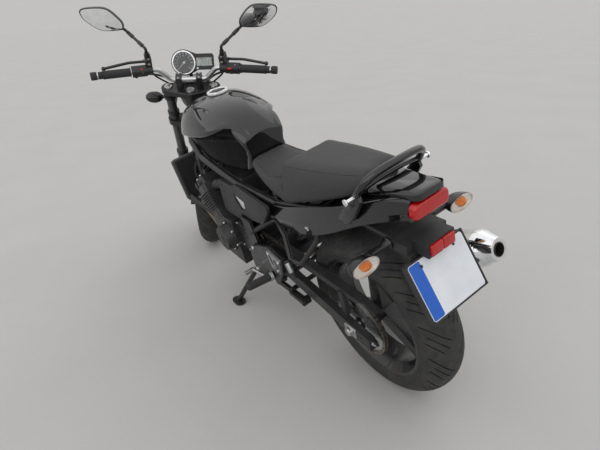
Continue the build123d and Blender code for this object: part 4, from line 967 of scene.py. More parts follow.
class MOTORCYCLE_OT_instruments(Operator):
    """Dial with its bezel and needle, display, warning lamps and knobs"""

    bl_idname = "motorcycle.instruments"
    bl_label = "Instruments"

    def execute(self, context):
        def shown(name, form, finish_name, slot, outward=True):
            piece(name, form, finish_name, "steering", outward=outward)

        def window(form, width, height, radius, at):
            pane = [(x + DISPLAY[0], y + DISPLAY[1]) for x, y in rounded(width, height, radius)]
            pressed(form, pane, 0.5, DIAL @ moved(0, 0, at))

        bezel, surround, face, marks, needle, clear, panel, figures, knobs, lamps = forms(10)
        turned(bezel, [(46.4, -3), (46.4, 1.6), (47.2, 3), (50.6, 3), (52.6, 1.2), (52.8, -3)],
               DIAL, 72, closed=True)
        shown("dial_bezel", bezel, "bezel_silver", "bright_steel")
        ring = [radians(60 + 10 * k) for k in range(25)]
        pressed(surround, [(57 * cos(a), 57 * sin(a)) for a in ring]
                + [(62, -33), (123, -29), (131, -22), (131, 26), (123, 32), (60, 36)], 15,
                DIAL @ moved(0, 0, -19), rounding=4, segments=3)
        shown("instrument_surround", surround, "matte_black_plastic", "black_plastic")
        peg(face, 46.4, 0.5, DIAL @ moved(0, 0, -2.9), steps=64)
        shown("dial_face", face, "dial_black", "black_plastic")
        for step in range(0, 121, 2):
            long = step % 10 == 0
            block(marks, (7 if long else 3.6, 1.2 if long else 0.5, 0.25),
                  (42 - (1.6 if long else 0), 0, -2.3), DIAL @ spun(225 - 270 * step / 120))
        for number in range(13):
            angle = radians(225 - 270 * number / 12)
            written(marks, str(number), 8.5,
                    DIAL @ moved(31 * cos(angle), 31 * sin(angle), -2.35))
        shown("dial_marks", marks, "pale_print", "plate_white", outward=False)
        pressed(needle, [(-10, 1.6), (-10, -1.6), (34, -0.5), (34, 0.5)], 0.7,
                DIAL @ moved(0, 0, -1.9) @ spun(225))
        peg(needle, 5, 1.2, DIAL @ moved(0, 0, -1.9), rounding=0.4)
        shown("dial_needle", needle, "needle_white", "plate_white")
        peg(clear, 46.5, 0.5, DIAL @ moved(0, 0, -0.55), steps=64)
        window(clear, 73, 39, 5, -0.6)
        shown("instrument_glass", clear, "clear_glass", "clear_lens")
        window(panel, 66, 34, 3, -2.9)
        shown("display_panel", panel, "display_grey", "plate_white")
        for x in (84, 96):
            digit(figures, "0", 8, (x, 6))
        for k, figure in enumerate("00420"):
            digit(figures, figure, 2.6, (74 + k * 5.4, -9.5))
        for k in range(7):
            block(figures, (2.4, 1.4 + k * 0.55, 0.2), (66 + k * 3.3, 15.5, -2.2), DIAL)
        for k in range(5):
            block(figures, (3.2, 2.2, 0.2), (111.5, -10 + 4.2 * k, -2.2), DIAL)
        shown("display_figures", figures, "display_ink", "black_plastic")
        for x, y in ((-18, -45.5), (60, -26)):
            turned(knobs, [(0, 9), (3.4, 9), (4.2, 8.2), (4.2, 2), (5.2, 1.4), (5.2, 0)],
                   DIAL @ moved(x, y, -1), 20)
        shown("instrument_knobs", knobs, "plated_steel", "bright_steel")
        for k in range(5):
            peg(lamps, 1.9, 0.6, DIAL @ moved(63 + 14 * k, 27.5, -0.3), steps=14, rounding=0.2)
        shown("warning_lamps", lamps, "unlit_lamps", "red_lens")
        return {"FINISHED"}


# Bar, yoke and controls


class MOTORCYCLE_OT_mirrors(Operator):
    """Both mirrors: shell, rim, glass, stem and its sleeves"""

    bl_idname = "motorcycle.mirrors"
    bl_label = "Mirrors"

    def execute(self, context):
        shape = softened([(-83, 48), (34, 49), (83, -18), (78, -52), (-23, -52), (-80, 2)])
        flips = [Matrix.Diagonal((1, side, 1, 1)) for side in SIDES]
        face = frame_of((112, 323, 1330), (-0.12, -1, 0.08), (-1, 0.1, 0.05))
        back = face @ spun(180, "X")
        shell, pane, shells, panes = forms(4)
        for size, depth, rounding, segments in ((1, 22, 16, 6), (0.6, 30, 12, 5)):
            pressed(shell, [(x * size, -y * size) for x, y in shape], depth, back, rounding,
                    segments)
        # the rim round the glass
        pressed(shell, shape, 2.2, face, rounding=1.2)
        stem = [BAR_RUN @ Vector((24, -48, 30)), BAR_RUN @ Vector((26, -92, 34)),
                face @ Vector((74, -62, -21)), face @ Vector((44, -30, -18))]
        first, long = stem[1] - stem[0], stem[2] - stem[1]
        tube(shell, [
            stem[0], stem[1] - first * 0.3, stem[1], stem[1] + long * 0.08,
            stem[1] + long * 0.5, stem[2] - long * 0.08, stem[2], stem[3],
        ], 6.2, steps=20, smooth=8)
        peg(shell, 10.5, 30, facing(stem[0] - first * 0.1, first), end_radius=9.5, rounding=2)
        for start, reach in ((0.12, 34), (0.62, 40)):
            turned(shell, [(6.6, 0), (8.4, 2), (8.4, reach - 6), (6.6, reach)],
                   facing(stem[1] + long * start, long), 24)
        pressed(pane, [(x * 0.94, y * 0.94) for x, y in shape], 1.2, face @ moved(0, 0, 1.6),
                rounding=0.5)
        copies(shells, kept(shell), flips)
        copies(panes, kept(pane), flips)
        piece("mirror_shells", shells, "gloss_black_moulding", "steering",
              "mirrors")
        piece("mirror_panes", panes, "mirror_silver", "steering", "mirror_glass")
        return {"FINISHED"}


class MOTORCYCLE_OT_controls(Operator):
    """Grips' ribs, switches, reservoirs' caps, bar clamps, fork caps and ignition lock"""

    bl_idname = "motorcycle.controls"
    bl_label = "Controls"

    def execute(self, context):
        ribs, bolts, black, red, pale, rims, lock, keyway = forms(8)
        for side in SIDES:
            run = hand(side)
            ways = run.to_3x3()
            profile = [(16.4, 110.5), (20, 110.8), (20, 113), (17.3, 114.5)]
            along = 116.0
            while along < 219:
                profile += [(17.15, along), (17.55, along + 0.8), (17.55, along + 2.2)]
                along += 3.4
            profile += [(17.2, 221), (18.6, 222), (18.4, 224), (16.4, 224.2)]
            turned(ribs, profile, run, 40)
            # rubber sleeve and capped weight at the bar's end
            turned(ribs, [(11.3, 224.3), (14.6, 224.6), (15.2, 227), (14.8, 247), (16.6, 250),
                          (16.8, 269), (14.6, 272.4), (0, 272.6)], run, 36)
            turned(bolts, [(14.9, 241), (16, 242), (16, 246), (14.9, 247)], run, 36)
            # clamp screws of switch housing and perch
            for along in (60, 92):
                screw(bolts, run @ Vector((-17, 9, along)), ways @ Vector((-1, 0, 0)), 3.2, 2.4,
                      "socket")
            for ahead in (26, -14):
                screw(bolts, run @ Vector((ahead, 9, 31)), ways @ Vector((-0.2, 0.1, -1)), 3.4,
                      2.5, "socket")
            # reservoir: cap with two screws, and a round sight glass towards the rider
            cap = run @ moved(22, -47.2, 30.5) @ spun(90, "X")
            pressed(black, rounded(45, 27, 5), 5, cap, rounding=1.3)
            for x in (-17, 17):
                screw(bolts, cap @ Vector((x, 0, 5)), cap.to_3x3() @ Vector((0, 0, 1)), 2.8, 1.6,
                      "socket")
            sight = run @ moved(0.9, -30, 30) @ spun(-90, "Y")
            turned(rims, [(9.2, 0), (9.2, 2.2), (7.2, 2.6), (6.8, 0.8), (6.8, 0)], sight, 28)
            peg(pale, 6.8, 1.4, sight, steps=24, rounding=0.4)
            # pivot screw of the lever
            screw(bolts, run @ Vector((56, -13.6, 43)), ways @ Vector((0, -1, 0)), 5.5, 3)
        for form, side, place, size, rounding in (
            # left: beam rocker, indicator slide, horn, red switch and a pale mark
            (black, 1, (-22, -8, 62), (7, 11, 13), 2),
            (black, 1, (-23, 4, 78), (9, 8, 12), 2),
            (black, 1, (-22.5, 11, 92), (6, 9, 12), 2.4),
            (red, 1, (-12, -18.8, 64), (8, 4, 9), 1.6),
            (pale, 1, (-23.6, -9, 62), (5, 3, 3), 0.8),
            # right: red stop switch above, start button below
            (red, -1, (-20.5, -13, 66), (8, 9, 17), 2.2),
            (black, -1, (-22.5, 6, 72), (8, 12, 12), 2.6),
            (pale, -1, (-2, -19.4, 88), (4, 2, 5), 0.8),
        ):
            block(form, size, where=hand(side) @ moved(*place), rounding=rounding)
        # bar clamps, fork caps, yoke pinch bolts
        for y in (45, -45):
            for x in (2, 34):
                screw(bolts, (x, y, 1109), (0, 0, 1), 5, 5, "socket")
        for y in (FORK_Y, -FORK_Y):
            where = moved(FORK_X, y, 1046)
            turned(bolts, [(0, 9.5), (9, 9.5), (9.4, 9), (9.4, 5.6), (16.5, 5.4), (17.6, 4.4),
                           (17.6, 2)], where, 40)
            peg(bolts, 11.5, 8, where, steps=6, rounding=1)
            peg(bolts, 4.2, 12.5, where, steps=16, rounding=1)
        for y in (FORK_Y, -FORK_Y):
            screw(bolts, (FORK_X - 30, y * 0.86, 1033), (-0.6, y * 0.002, 0), 5, 4.5, "socket")
        turned(lock, [(0, 8), (9.6, 8), (10, 7.4), (12.4, 7.6), (17.6, 7.2), (18.4, 6), (18.4, 0)],
               moved(-3, 0, 1046), 40)
        # the key's slot: a thin black block on the lock, painted shade
        block(keyway, (3, 11, 1.2), (-3, 0, 1054), rounding=0.3)
        for name, form, finish_name, slot in (
            ("grip_ribs", ribs, "grip_rubber", "grip_rubber"),
            ("control_caps", black, "matte_black_plastic", "black_plastic"),
            ("stop_switch", red, "switch_red", "red_lens"),
            ("sight_glasses", pale, "sight_amber", "clear_lens"),
            ("sight_rims", rims, "matte_black_plastic", "black_plastic"),
            ("control_bolts", bolts, "plated_steel", "bright_steel"),
            ("ignition_ring", lock, "silver_coat", "bar_silver"),
            ("ignition_slot_shade", keyway, "keyway_black", "black_plastic"),
        ):
            piece(name, form, finish_name, "steering")
        return {"FINISHED"}


# Bodywork


def along_line(table, value):
    """A value read off a broken line of (place, height) pairs in falling order of place."""
    for (a, low), (b, high) in zip(table, table[1:]):
        if value >= b:
            return low + (high - low) * min(1.0, max(0.0, (a - value) / (a - b)))
    return table[-1][1]


def eased(value):
    """A smooth step from 0 to 1."""
    value = min(1.0, max(0.0, value))
    return value * value * (3 - 2 * value)


class BodySettings(PropertyGroup):
    """The tank's pressing."""

    recess: FloatProperty(
        name="Knee recess", description="Depth of the tank's knee recesses in millimetres",
        default=19, min=0, max=25,
    )
    skin: FloatProperty(
        name="Skin mesh", description="Spacing of the tank's mesh in millimetres", default=3.6,
        min=2.5, max=8,
    )


class MOTORCYCLE_OT_tank(Operator):
    """Fuel tank with knee recesses, and its cap's ring, screws, flap and keyhole; the recesses and
    the keyhole are dark in painted shade
    """

    bl_idname = "motorcycle.tank"
    bl_label = "Tank"

    def execute(self, context):
        chosen = context.scene.motorcycle_body
        # the recess: its upper edge, its rear edge and its depth along the tank
        arch = [(340, 800), (235, 819), (100, 838), (0, 858), (-78, 882), (-128, 900),
                (-160, 898), (-230, 860)]
        back = [(905, -140), (896, -156), (848, -188), (788, -196), (735, -180), (700, -170)]
        depths = [(330, 0.1), (200, 0.35), (0, 0.75), (-120, 1.0), (-220, 1.0)]

        def inside(point):
            return min(along_line(arch, point.x) - point.z, point.x - along_line(back, point.z))

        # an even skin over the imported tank, eased and then pressed to shape
        holder = skin_of(
            "tank_shell", kept(reshaped(copied("fuel_tank"), MACHINE.inverted())), chosen.skin)
        form = bmesh.new()
        form.from_mesh(holder.data)
        bpy.data.objects.remove(holder)
        smoothed(form, 11)
        for vertex in form.verts:
            x, y, z = vertex.co
            if z > 700 and abs(y) > 30:
                within = inside(vertex.co)
                low = 1 - 0.45 * eased((along_line(arch, x) - z) / 150)
                press = eased(within / 9) * chosen.recess * along_line(depths, x) * low
                swell = 2.5 * max(0.0, 1 - abs(within + 12) / 14)
                side = 1 if y > 0 else -1
                vertex.co.y -= side * (press - swell * min(1.0, abs(vertex.normal.y) * 2))
        smoothed(form, 2, 0.3)
        # faces inside the knee recesses take a black that reflects almost nothing: painted shade
        for face in form.faces:
            middle = face.calc_center_median()
            face.material_index = int(min(inside(middle), abs(middle.y) - 30) > 3)
        made = piece("tank_shell", form, "gloss_black_paint", node="fuel_tank",
                     crease=180)
        made.data.materials.append(finish("satin_knee_black"))

        ring, centre, lock, keyhole = forms(4)
        cap = moved(88, 0, 979)
        turned(ring, [(44.2, -4), (44.2, 1.2), (42.6, 2.4), (33, 2.4), (31.4, 0.8), (31.4, -2)],
               cap, 64)
        for x, y in ring_of(6, 37.6, 0.3):
            screw(ring, cap @ Vector((x, y, 2)), (0, 0, 1), 2.9, 1.7, "socket")
        turned(centre, [(31.2, -2), (31.2, 0.7), (29.8, 1.5), (0, 1.9)], cap, 48)
        pressed(centre, rounded(34, 22, 9), 2.6, cap @ moved(-14, 0, 1.4), rounding=1.1)
        turned(lock, [(0, 4.6), (6.4, 4.6), (7.2, 3.8), (7.2, 1)], cap @ moved(12, 0, 0), 28)
        # the keyhole: a thin black block on the lock, painted shade
        block(keyhole, (7.4, 1.4, 0.5), (12, 0, 4.7), cap, 0.2)
        for name, form, finish_name, slot in (
            ("cap_ring", ring, "cap_silver", "cast_aluminium"),
            ("cap_centre", centre, "gloss_black_moulding", "black_plastic"),
            ("cap_lock", lock, "plated_steel", "bright_steel"),
            ("cap_keyhole_shade", keyhole, "dark_hole", "black_plastic"),
        ):
            piece(name, form, finish_name, "fuel_cap")
        return {"FINISHED"}


class MOTORCYCLE_OT_trim(Operator):
    """Tail's cover and lip, side panels' bright insets, lock, hook caps and fixings"""

    bl_idname = "motorcycle.trim"
    bl_label = "Trim"

    def execute(self, context):
        gloss, matte, bright, cast, rubbers, shell = forms(6)
        # one raised shell between the hoop's feet, drawn out to a lip over the lamp
        block(shell, (172, 130, 40), rounding=17, segments=6)
        for vertex in shell.verts:
            x, y, z = vertex.co
            share = (86 - x) / 172
            y *= 1.0 - 0.3 * share ** 2.2
            if z < 0:
                z += 24 * share
            z += 5 * (1 - (y / 66) ** 2) - 3 * share
            vertex.co = (x - 922, y, z + 836 + 13 * share)
        copies(gloss, kept(shell), [Matrix()])
        # the hoop and its cross bar, each from one side to its middle
        for radius, line in (
            (10.5, [(-796, 100, 770), (-832, 112, 820), (-868, 112, 868), (-892, 98, 904),
                    (-902, 50, 915), (-904, 0, 917)]),
            (7.5, [(-862, 104, 862), (-868, 60, 872), (-868, 0, 874)]),
        ):
            line += [(x, -y, z) for x, y, z in line[-2::-1]]
            tube(gloss, line, radius, steps=24, smooth=12)
        for side in SIDES:
            foot = [(-758, 752), (-790, 792), (-842, 846), (-866, 852), (-872, 838), (-840, 786),
                    (-812, 752), (-786, 738)]
            pressed(gloss, foot[::side], 12, side_frame(0, 104 * side, 0, side), rounding=4,
                    segments=3)
        for side in SIDES:
            inset = [(-93.5, 630), (-176, 617.4), (-166, 581.5), (-128.4, 568.4), (-106, 591)]
            pressed(bright, inset[::side], 5, side_frame(0, 139.4 * side, 0, side), rounding=1.2)
            # hook caps, the hoop's screws and the panels' fixings
            turned(bright, [(0, 6.4), (6, 6.2), (9.2, 4.6), (9.6, 2), (8.6, 0), (5.2, -0.6),
                            (5.2, -30)], side_frame(-858, 146 * side, 852, side), 28)
            for x, y, z in ((-812, 112, 790), (-838, 119, 822)):
                screw(matte, (x, y * side, z), (0, side, 0.1), 6.5, 4, "socket")
            for x, z in ((-2, 646), (-360, 652), (32, 520), (-80, 518)):
                screw(matte, (x, 147.2 * side, z), (0, side, 0), 6.4, 2.6, "socket")
        lock = facing((-576, 121.2, 642), (-0.1, 0.99, -0.14))
        turned(bright, [(0, 2.8), (7.2, 2.8), (8.8, 1.9), (8.8, 0)], lock, 28)
        block(matte, (9, 1.5, 0.5), (0, 0, 2.9), lock, 0.2)
        # footrest hangers' bolts, peg clamps and pillion pegs
        for side in SIDES:
            for x, y, z, r in ((-345, 185.2, 470, 6.5), (-410, 185.2, 458, 6.5),
                               (-392, 185.2, 412, 5), (-192, 178.2, 424, 9)):
                screw(cast, (x, y * side, z), (0, side, 0), r, 4, "socket")
            way = Vector((-36, 4 * side, -60))
            start = Vector((-468, 176 * side, 492)) + way * 0.12
            peg(cast, 11.6, way.length - 10, facing(start, way), end_radius=9, steps=32,
                rounding=3)
            out = (18, 114 * side, 0)
            turned(cast, [(14.6, 0), (16.6, 1.5), (16.6, 12), (14.6, 14)],
                   facing((-318, 181 * side, 350), out), 32)
            profile = [(14.2, 0)]
            for k in range(11):
                profile += [(15.2, 1 + k * 8.2), (16.2, 2 + k * 8.2), (16.2, 6.4 + k * 8.2),
                            (15.2, 7.6 + k * 8.2)]
            turned(rubbers, profile + [(14.2, 93), (8, 98), (0, 98.4)],
                   facing((-316, 196 * side, 350), out), 36)
        piece("tail_gloss", gloss, "gloss_black_paint", node="grab_rail")
        piece("bright_trim", bright, "hard_chrome")
        piece("panel_screws", matte, "matte_black_plastic")
        piece("footrest_fixings", cast, "cast_aluminium")
        piece("peg_rubbers", rubbers, "grip_rubber")
        return {"FINISHED"}


# Lamps, indicators and number plate


class LampSettings(PropertyGroup):
    """Colours of the lamps."""

    red: FloatVectorProperty(
        name="Tail lamp colour", description="Colour of the tail lamp's plastic", subtype="COLOR",
        size=3, default=(0.52, 0.005, 0.006), min=0, max=1,
    )
    amber: FloatVectorProperty(
        name="Bulb colour", description="Colour of the indicators' bulbs", subtype="COLOR",
        size=3, default=(0.85, 0.2, 0.01), min=0, max=1,
    )


def dome(form, at, ahead, size, depth, power=0.5, inner=0.0):
    """A half-ellipsoid that looks ahead or back, solid or, with an inner wall, a shell."""
    where = frame_of(at, (0, 1, 0), ahead) @ Matrix.Diagonal((size[0] / 2, size[1] / 2, 1, 1))
    angles = [radians(10 * k) for k in range(9)]
    outer = [(cos(angle) ** power, depth * sin(angle)) for angle in angles] + [(0, depth)]
    start = [(0, 0)]
    if inner:
        share = 1 - 2 * inner / size[1]
        start = []
        outer += [(r * share, max(0.0, h - inner)) for r, h in outer[::-1]]
    return turned(form, start + outer, where, 40)


class MOTORCYCLE_OT_lamps(Operator):
    """Tail lamp, reflector, four indicators, the headlight's bowl, and the number plate"""

    bl_idname = "motorcycle.lamps"
    bl_label = "Lamps"

    def execute(self, context):
        chosen = context.scene.motorcycle_lamps
        lens("tail_lamp_lens", tuple(chosen.red), 0.25, 220.0)
        plain("amber_bulb", tuple(chosen.amber), 0.25, coat=0.5)
        tail, reflector, bowl, bulb, rim, band, holder = forms(7)
        pressed(tail, rounded(124, 45, 16, 6), 20, tilted((-984.4, 0, 820), 0), rounding=9,
                segments=5)
        piece("tail_lens", tail, "tail_lamp_lens", node="tail_lamp")
        for side in SIDES:
            pressed(reflector, [(x + 21.6 * side, y) for x, y in rounded(42, 33, 4)], 7,
                    tilted((-1022.2, 0, 712), 0), rounding=2, segments=3)
        piece("rear_reflector", reflector, "tail_lamp_lens")

        ahead, behind = (1, 0, 0), (-1, 0, 0)
        body, lenses, dishes, bulbs = forms(4)
        for side in SIDES:
            at = Vector((-936, 180 * side, 707))
            dome(body, at, (1, 0, -0.05), (90, 48), 46, 0.75, 2)
            turned(body, [(0, 0), (19, 0), (19, 5), (14, 11), (11, 30), (11, 70), (15, 84),
                          (0, 96)], facing((-908, 74.4 * side, 707), (0, side, 0)), 28)
            dome(lenses, at, behind, (90, 48), 15, 0.6, 1.5)
            dome(dishes, at + Vector((1, 0, 0)), ahead, (84, 43), 8, 0.6, 1.2)
            dome(bulbs, at + Vector((6, 0, 0)), behind, (32, 15), 13, 0.5)
        rear = body, lenses, bulbs, dishes
        body, lenses, dishes, bulbs = forms(4)
        for side in SIDES:
            at = Vector((104, 190 * side, 940))
            dome(body, at, behind, (84, 52), 30, 0.7)
            dome(lenses, at, ahead, (84, 52), 18, 0.6, 1.5)
            dome(dishes, at + Vector((0.4, 0, 0)), ahead, (66, 42), 1.4)
            dome(bulbs, at + Vector((1.5, 0, 0)), ahead, (28, 18), 10, 0.5)
        for end, ride, lens_node, pods in (
            ("rear", "chassis", "rear_indicator_lenses", rear),
            ("front", "steering", None, (body, lenses, bulbs, dishes)),
        ):
            for name, form, finish_name, slot, node in zip(
                ("pods", "pod_lenses", "bulbs", "dishes"), pods,
                ("gloss_black_moulding", "indicator_lens", "amber_bulb", "lamp_silvering"),
                ("black_plastic", "clear_lens", "clear_lens", "bright_steel"),
                (f"{end}_indicators", lens_node, None, None),
            ):
                piece(f"{end}_{name}", form, finish_name, ride, node)

        # headlight: bowl, bulb and its shade, rim
        turned(bowl, [(83.2, 90), (80, 78), (66, 60), (44, 49), (14, 43.4), (10, 43)], LAMP, 64)
        turned(bowl, [(0, 76), (8, 75), (11, 70), (11, 60)], LAMP, 28)
        peg(bulb, 6.5, 24, LAMP @ moved(0, 0, 42), end_radius=5.5)
        turned(rim, [(92.3, 92), (93.4, 95), (93.4, 104), (91, 108.6), (86.6, 108.6), (86, 105)],
               LAMP, 72)
        piece("headlight_bowl", bowl, "hard_chrome", "steering")
        piece("headlight_bulb", bulb, "clear_glass", "steering")
        piece("headlight_rim", rim, "hard_chrome", "steering")

        # number plate: blank sheet, plain band, holder's rim and bolts
        pressed(band, [(x - 79, y) for x, y in rounded(38, 156, 5)], 0.25, PLATE)
        piece("plate_band", band, "plate_blue")
        for x, y, wide, high in (
            (0, 83, 214, 5), (0, -83, 214, 5), (104.5, 0, 5, 171), (-104.5, 0, 5, 171),
        ):
            block(holder, (wide, high, 8), (x, y, -2.6), PLATE, 1.6)
        for x in (-60, 60):
            screw(holder, PLATE @ Vector((x, 62, 0)), PLATE.to_3x3() @ Vector((0, 0, 1)), 4.5,
                  2.4, "socket")
        # ribs moulded over the mudguard's back
        for x, z in ((-560, 684), (-640, 704), (-720, 718), (-800, 724), (-880, 723)):
            block(holder, (7, 118, 3.4), (x, 0, z), rounding=1.2)
        for side in SIDES:
            tube(holder, [(-480, 67 * side, 660), (-600, 67 * side, 697), (-760, 67 * side, 726),
                          (-900, 67 * side, 724), (-950, 66 * side, 712)], 3.6, steps=12,
                 smooth=10)
        piece("plate_holder_rim", holder, "matte_black_plastic")
        return {"FINISHED"}


# Exhaust, engine and running gear


class MOTORCYCLE_OT_exhaust(Operator):
    """Silencer's polished end, bands, rivets, strap and outlet"""

    bl_idname = "motorcycle.exhaust"
    bl_label = "Exhaust"

    def execute(self, context):
        length = SILENCER_LENGTH
        ends, outlet = forms(2)
        for profile in (
            [(56.3, length - 66), (57.2, length - 65), (57.2, length - 48), (55.6, length - 43),
             (34.8, length + 0.5), (30, length + 1.4), (24, length + 0.4), (22.4, length - 3)],
            [(56.2, 58), (57.4, 59), (57.4, 78), (56.2, 79)],
            [(56.2, 296), (57.8, 297), (57.8, 320), (56.2, 321)],
        ):
            turned(ends, profile, SILENCER, 64)
        for x, y in ring_of(14, 57.1):
            for z in (length - 56, 68):
                turned(ends, [(0, 1.5), (2, 1.2), (2.7, 0)],
                       facing(SILENCER @ Vector((x, y, z)), SILENCER.to_3x3() @ Vector((x, y, 0))),
                       10)
        piece("silencer_ends", ends, "hard_chrome")
        turned(outlet, [(21.9, length - 80), (21.9, length + 2.2), (21.2, length + 3),
                        (19.6, length + 2.4), (19.4, length - 80)], SILENCER, 48)
        peg(outlet, 19.4, 1, SILENCER @ moved(0, 0, length - 80), steps=32)
        piece("silencer_outlet", outlet, "sooted_steel")
        return {"FINISHED"}


class EngineSettings(PropertyGroup):
    """The engine's screws."""

    screw_radius: FloatProperty(
        name="Cover screws", description="Radius of the engine covers' screws in millimetres",
        default=5.2, min=3, max=8,
    )


class MOTORCYCLE_OT_engine(Operator):
    """Engine covers' faces and screws, plug caps, filler, radiator's tanks, cap and hoses"""

    bl_idname = "motorcycle.engine"
    bl_label = "Engine"

    def execute(self, context):
        size = context.scene.motorcycle_engine.screw_radius
        covers, screws, caps, tanks, hoses = forms(5)
        for x, z, face, base, side, count in (
            (62, 372, 55.9, 65, 1, 6), (12, 350, 77.4, 88, -1, 8),
        ):
            cover = side_frame(x, 205 * side, z, side)
            turned(covers, [(face + 1.2, -5), (face, 0.2), (face - 3, 3.4), (face - 15, 4.6),
                            (face - 18, 3), (face * 0.42, 3), (face * 0.34, 5.4), (0, 6.4)],
                   cover, 72)
            for u, v in ring_of(count, base + 2, 0.35):
                boss = cover @ moved(u, v, -40)
                turned(covers, [(9.4, -27), (9, 5), (7.6, 7), (0, 7)], boss, 24)
                screw(screws, boss @ Vector((0, 0, 7)), (0, side, 0), size, 4, "socket")
        # sprocket cover
        for x, z in ((-16, 456), (-16, 342), (-66, 336), (-114, 334), (-120, 398), (-98, 448)):
            turned(covers, [(size + 4.5, -3), (size + 4, 1.2), (size + 2.4, 2), (0, 2)],
                   side_frame(x, 144, z), 28)
            screw(screws, (x, 145.8, z), (0, 1, 0), size, 4)
        turned(covers, [(27, 0), (26, 3.5), (15, 4.4), (13, 2.6), (0, 2.6)],
               side_frame(-70, 144, 398), 48)
        # bolt heads along the crankcase's joint and the sump's flange
        for side in SIDES:
            for x in (-30, 20, 84, 128):
                screw(screws, (x, 70 * side, 176.5), (0, 0, -1), 5, 4)
            for x, y, z in ((238, 120, 392), (-114, 158.4, 262)):
                screw(screws, (x, y * side, z), (0, side, 0), 10, 8)
        # cylinder head: cover screws and plug caps with their leads
        lean = radians(32)
        head = frame_of((118, 0, 425), (cos(lean), 0, -sin(lean)), (sin(lean), 0, cos(lean)))
        up = head.to_3x3() @ Vector((0, 0, 1))
        for y in (-158, -80, 0, 80, 158):
            for x in (-38, 38):
                screw(screws, head @ Vector((x, y, 221)), up, size, 5)
        for y in (-120, -40, 40, 120):
            cap = head @ moved(0, y, 221)
            turned(caps, [(15, 0), (15, 4), (10, 7), (9, 22), (6, 27), (0, 28)], cap, 24)
            foot = cap @ Vector((0, 0, 24))
            tube(caps, [foot, foot + Vector((2, 0, 26)), (150, y * 0.5, 690),
                        (110, y * 0.3, 730)], 3.6, steps=8)
        # round end plugs of the camshafts
        for side in SIDES:
            for x in (-28, 28):
                turned(covers, [(15, -1), (15, 2.6), (12, 4), (0, 4)],
                       facing(head @ Vector((x, 178 * side, 196)), (0, side, 0)), 32)
        # oil filler on the right cover
        turned(covers, [(17, 0), (17, 8), (13, 10), (13, 16), (0, 17)],
               side_frame(-8, -138, 438, -1), 32)

        # radiator: side tanks, cap, hoses and fan ring
        lean = radians(9)
        core = frame_of((400, 0, 462), (0, 1, 0), (cos(lean), 0, -sin(lean)))
        for side in SIDES:
            block(tanks, (20, 203, 40), (side * 190, 102.5, 0), core, 7, 3)
        for y in (201, 4):
            block(tanks, (372, 12, 38), (0, y, 0), core, 3)
        fan = core @ moved(40, 102, -17) @ spun(180, "X")
        turned(tanks, [(84, 0), (84, 14), (78, 16), (78, 1)], fan, 56)
        turned(tanks, [(22, 0), (22, 15), (18, 18), (0, 18)], fan, 32)
        for k in range(6):
            block(tanks, (62, 7, 3), (50, 0, 8), fan @ spun(60 * k), 1)
        turned(tanks, [(0, 10), (17, 10), (19, 7), (19, 2), (14, 0), (13, -12)],
               core @ moved(-150, 210, 0) @ spun(-90, "X"), 28)
        for line in (
            [(388, -176, 640), (350, -178, 645), (290, -150, 620), (250, -110, 600),
             (226, -96, 580)],
            [(392, 180, 482), (356, 178, 470), (300, 150, 420), (240, 130, 380),
             (150, 150, 352)],
        ):
            tube(hoses, line, 14, steps=24, smooth=10)
        for name, form, finish_name, slot in (
            ("engine_covers", covers, "engine_enamel", "engine_black"),
            ("engine_screws", screws, "plated_steel", "bright_steel"),
            ("plug_caps", caps, "hose_sheath", "grip_rubber"),
            ("radiator_tanks", tanks, "matte_black_plastic", "black_plastic"),
            ("coolant_hoses", hoses, "hose_sheath", "grip_rubber"),
        ):
            piece(name, form, finish_name)
        return {"FINISHED"}


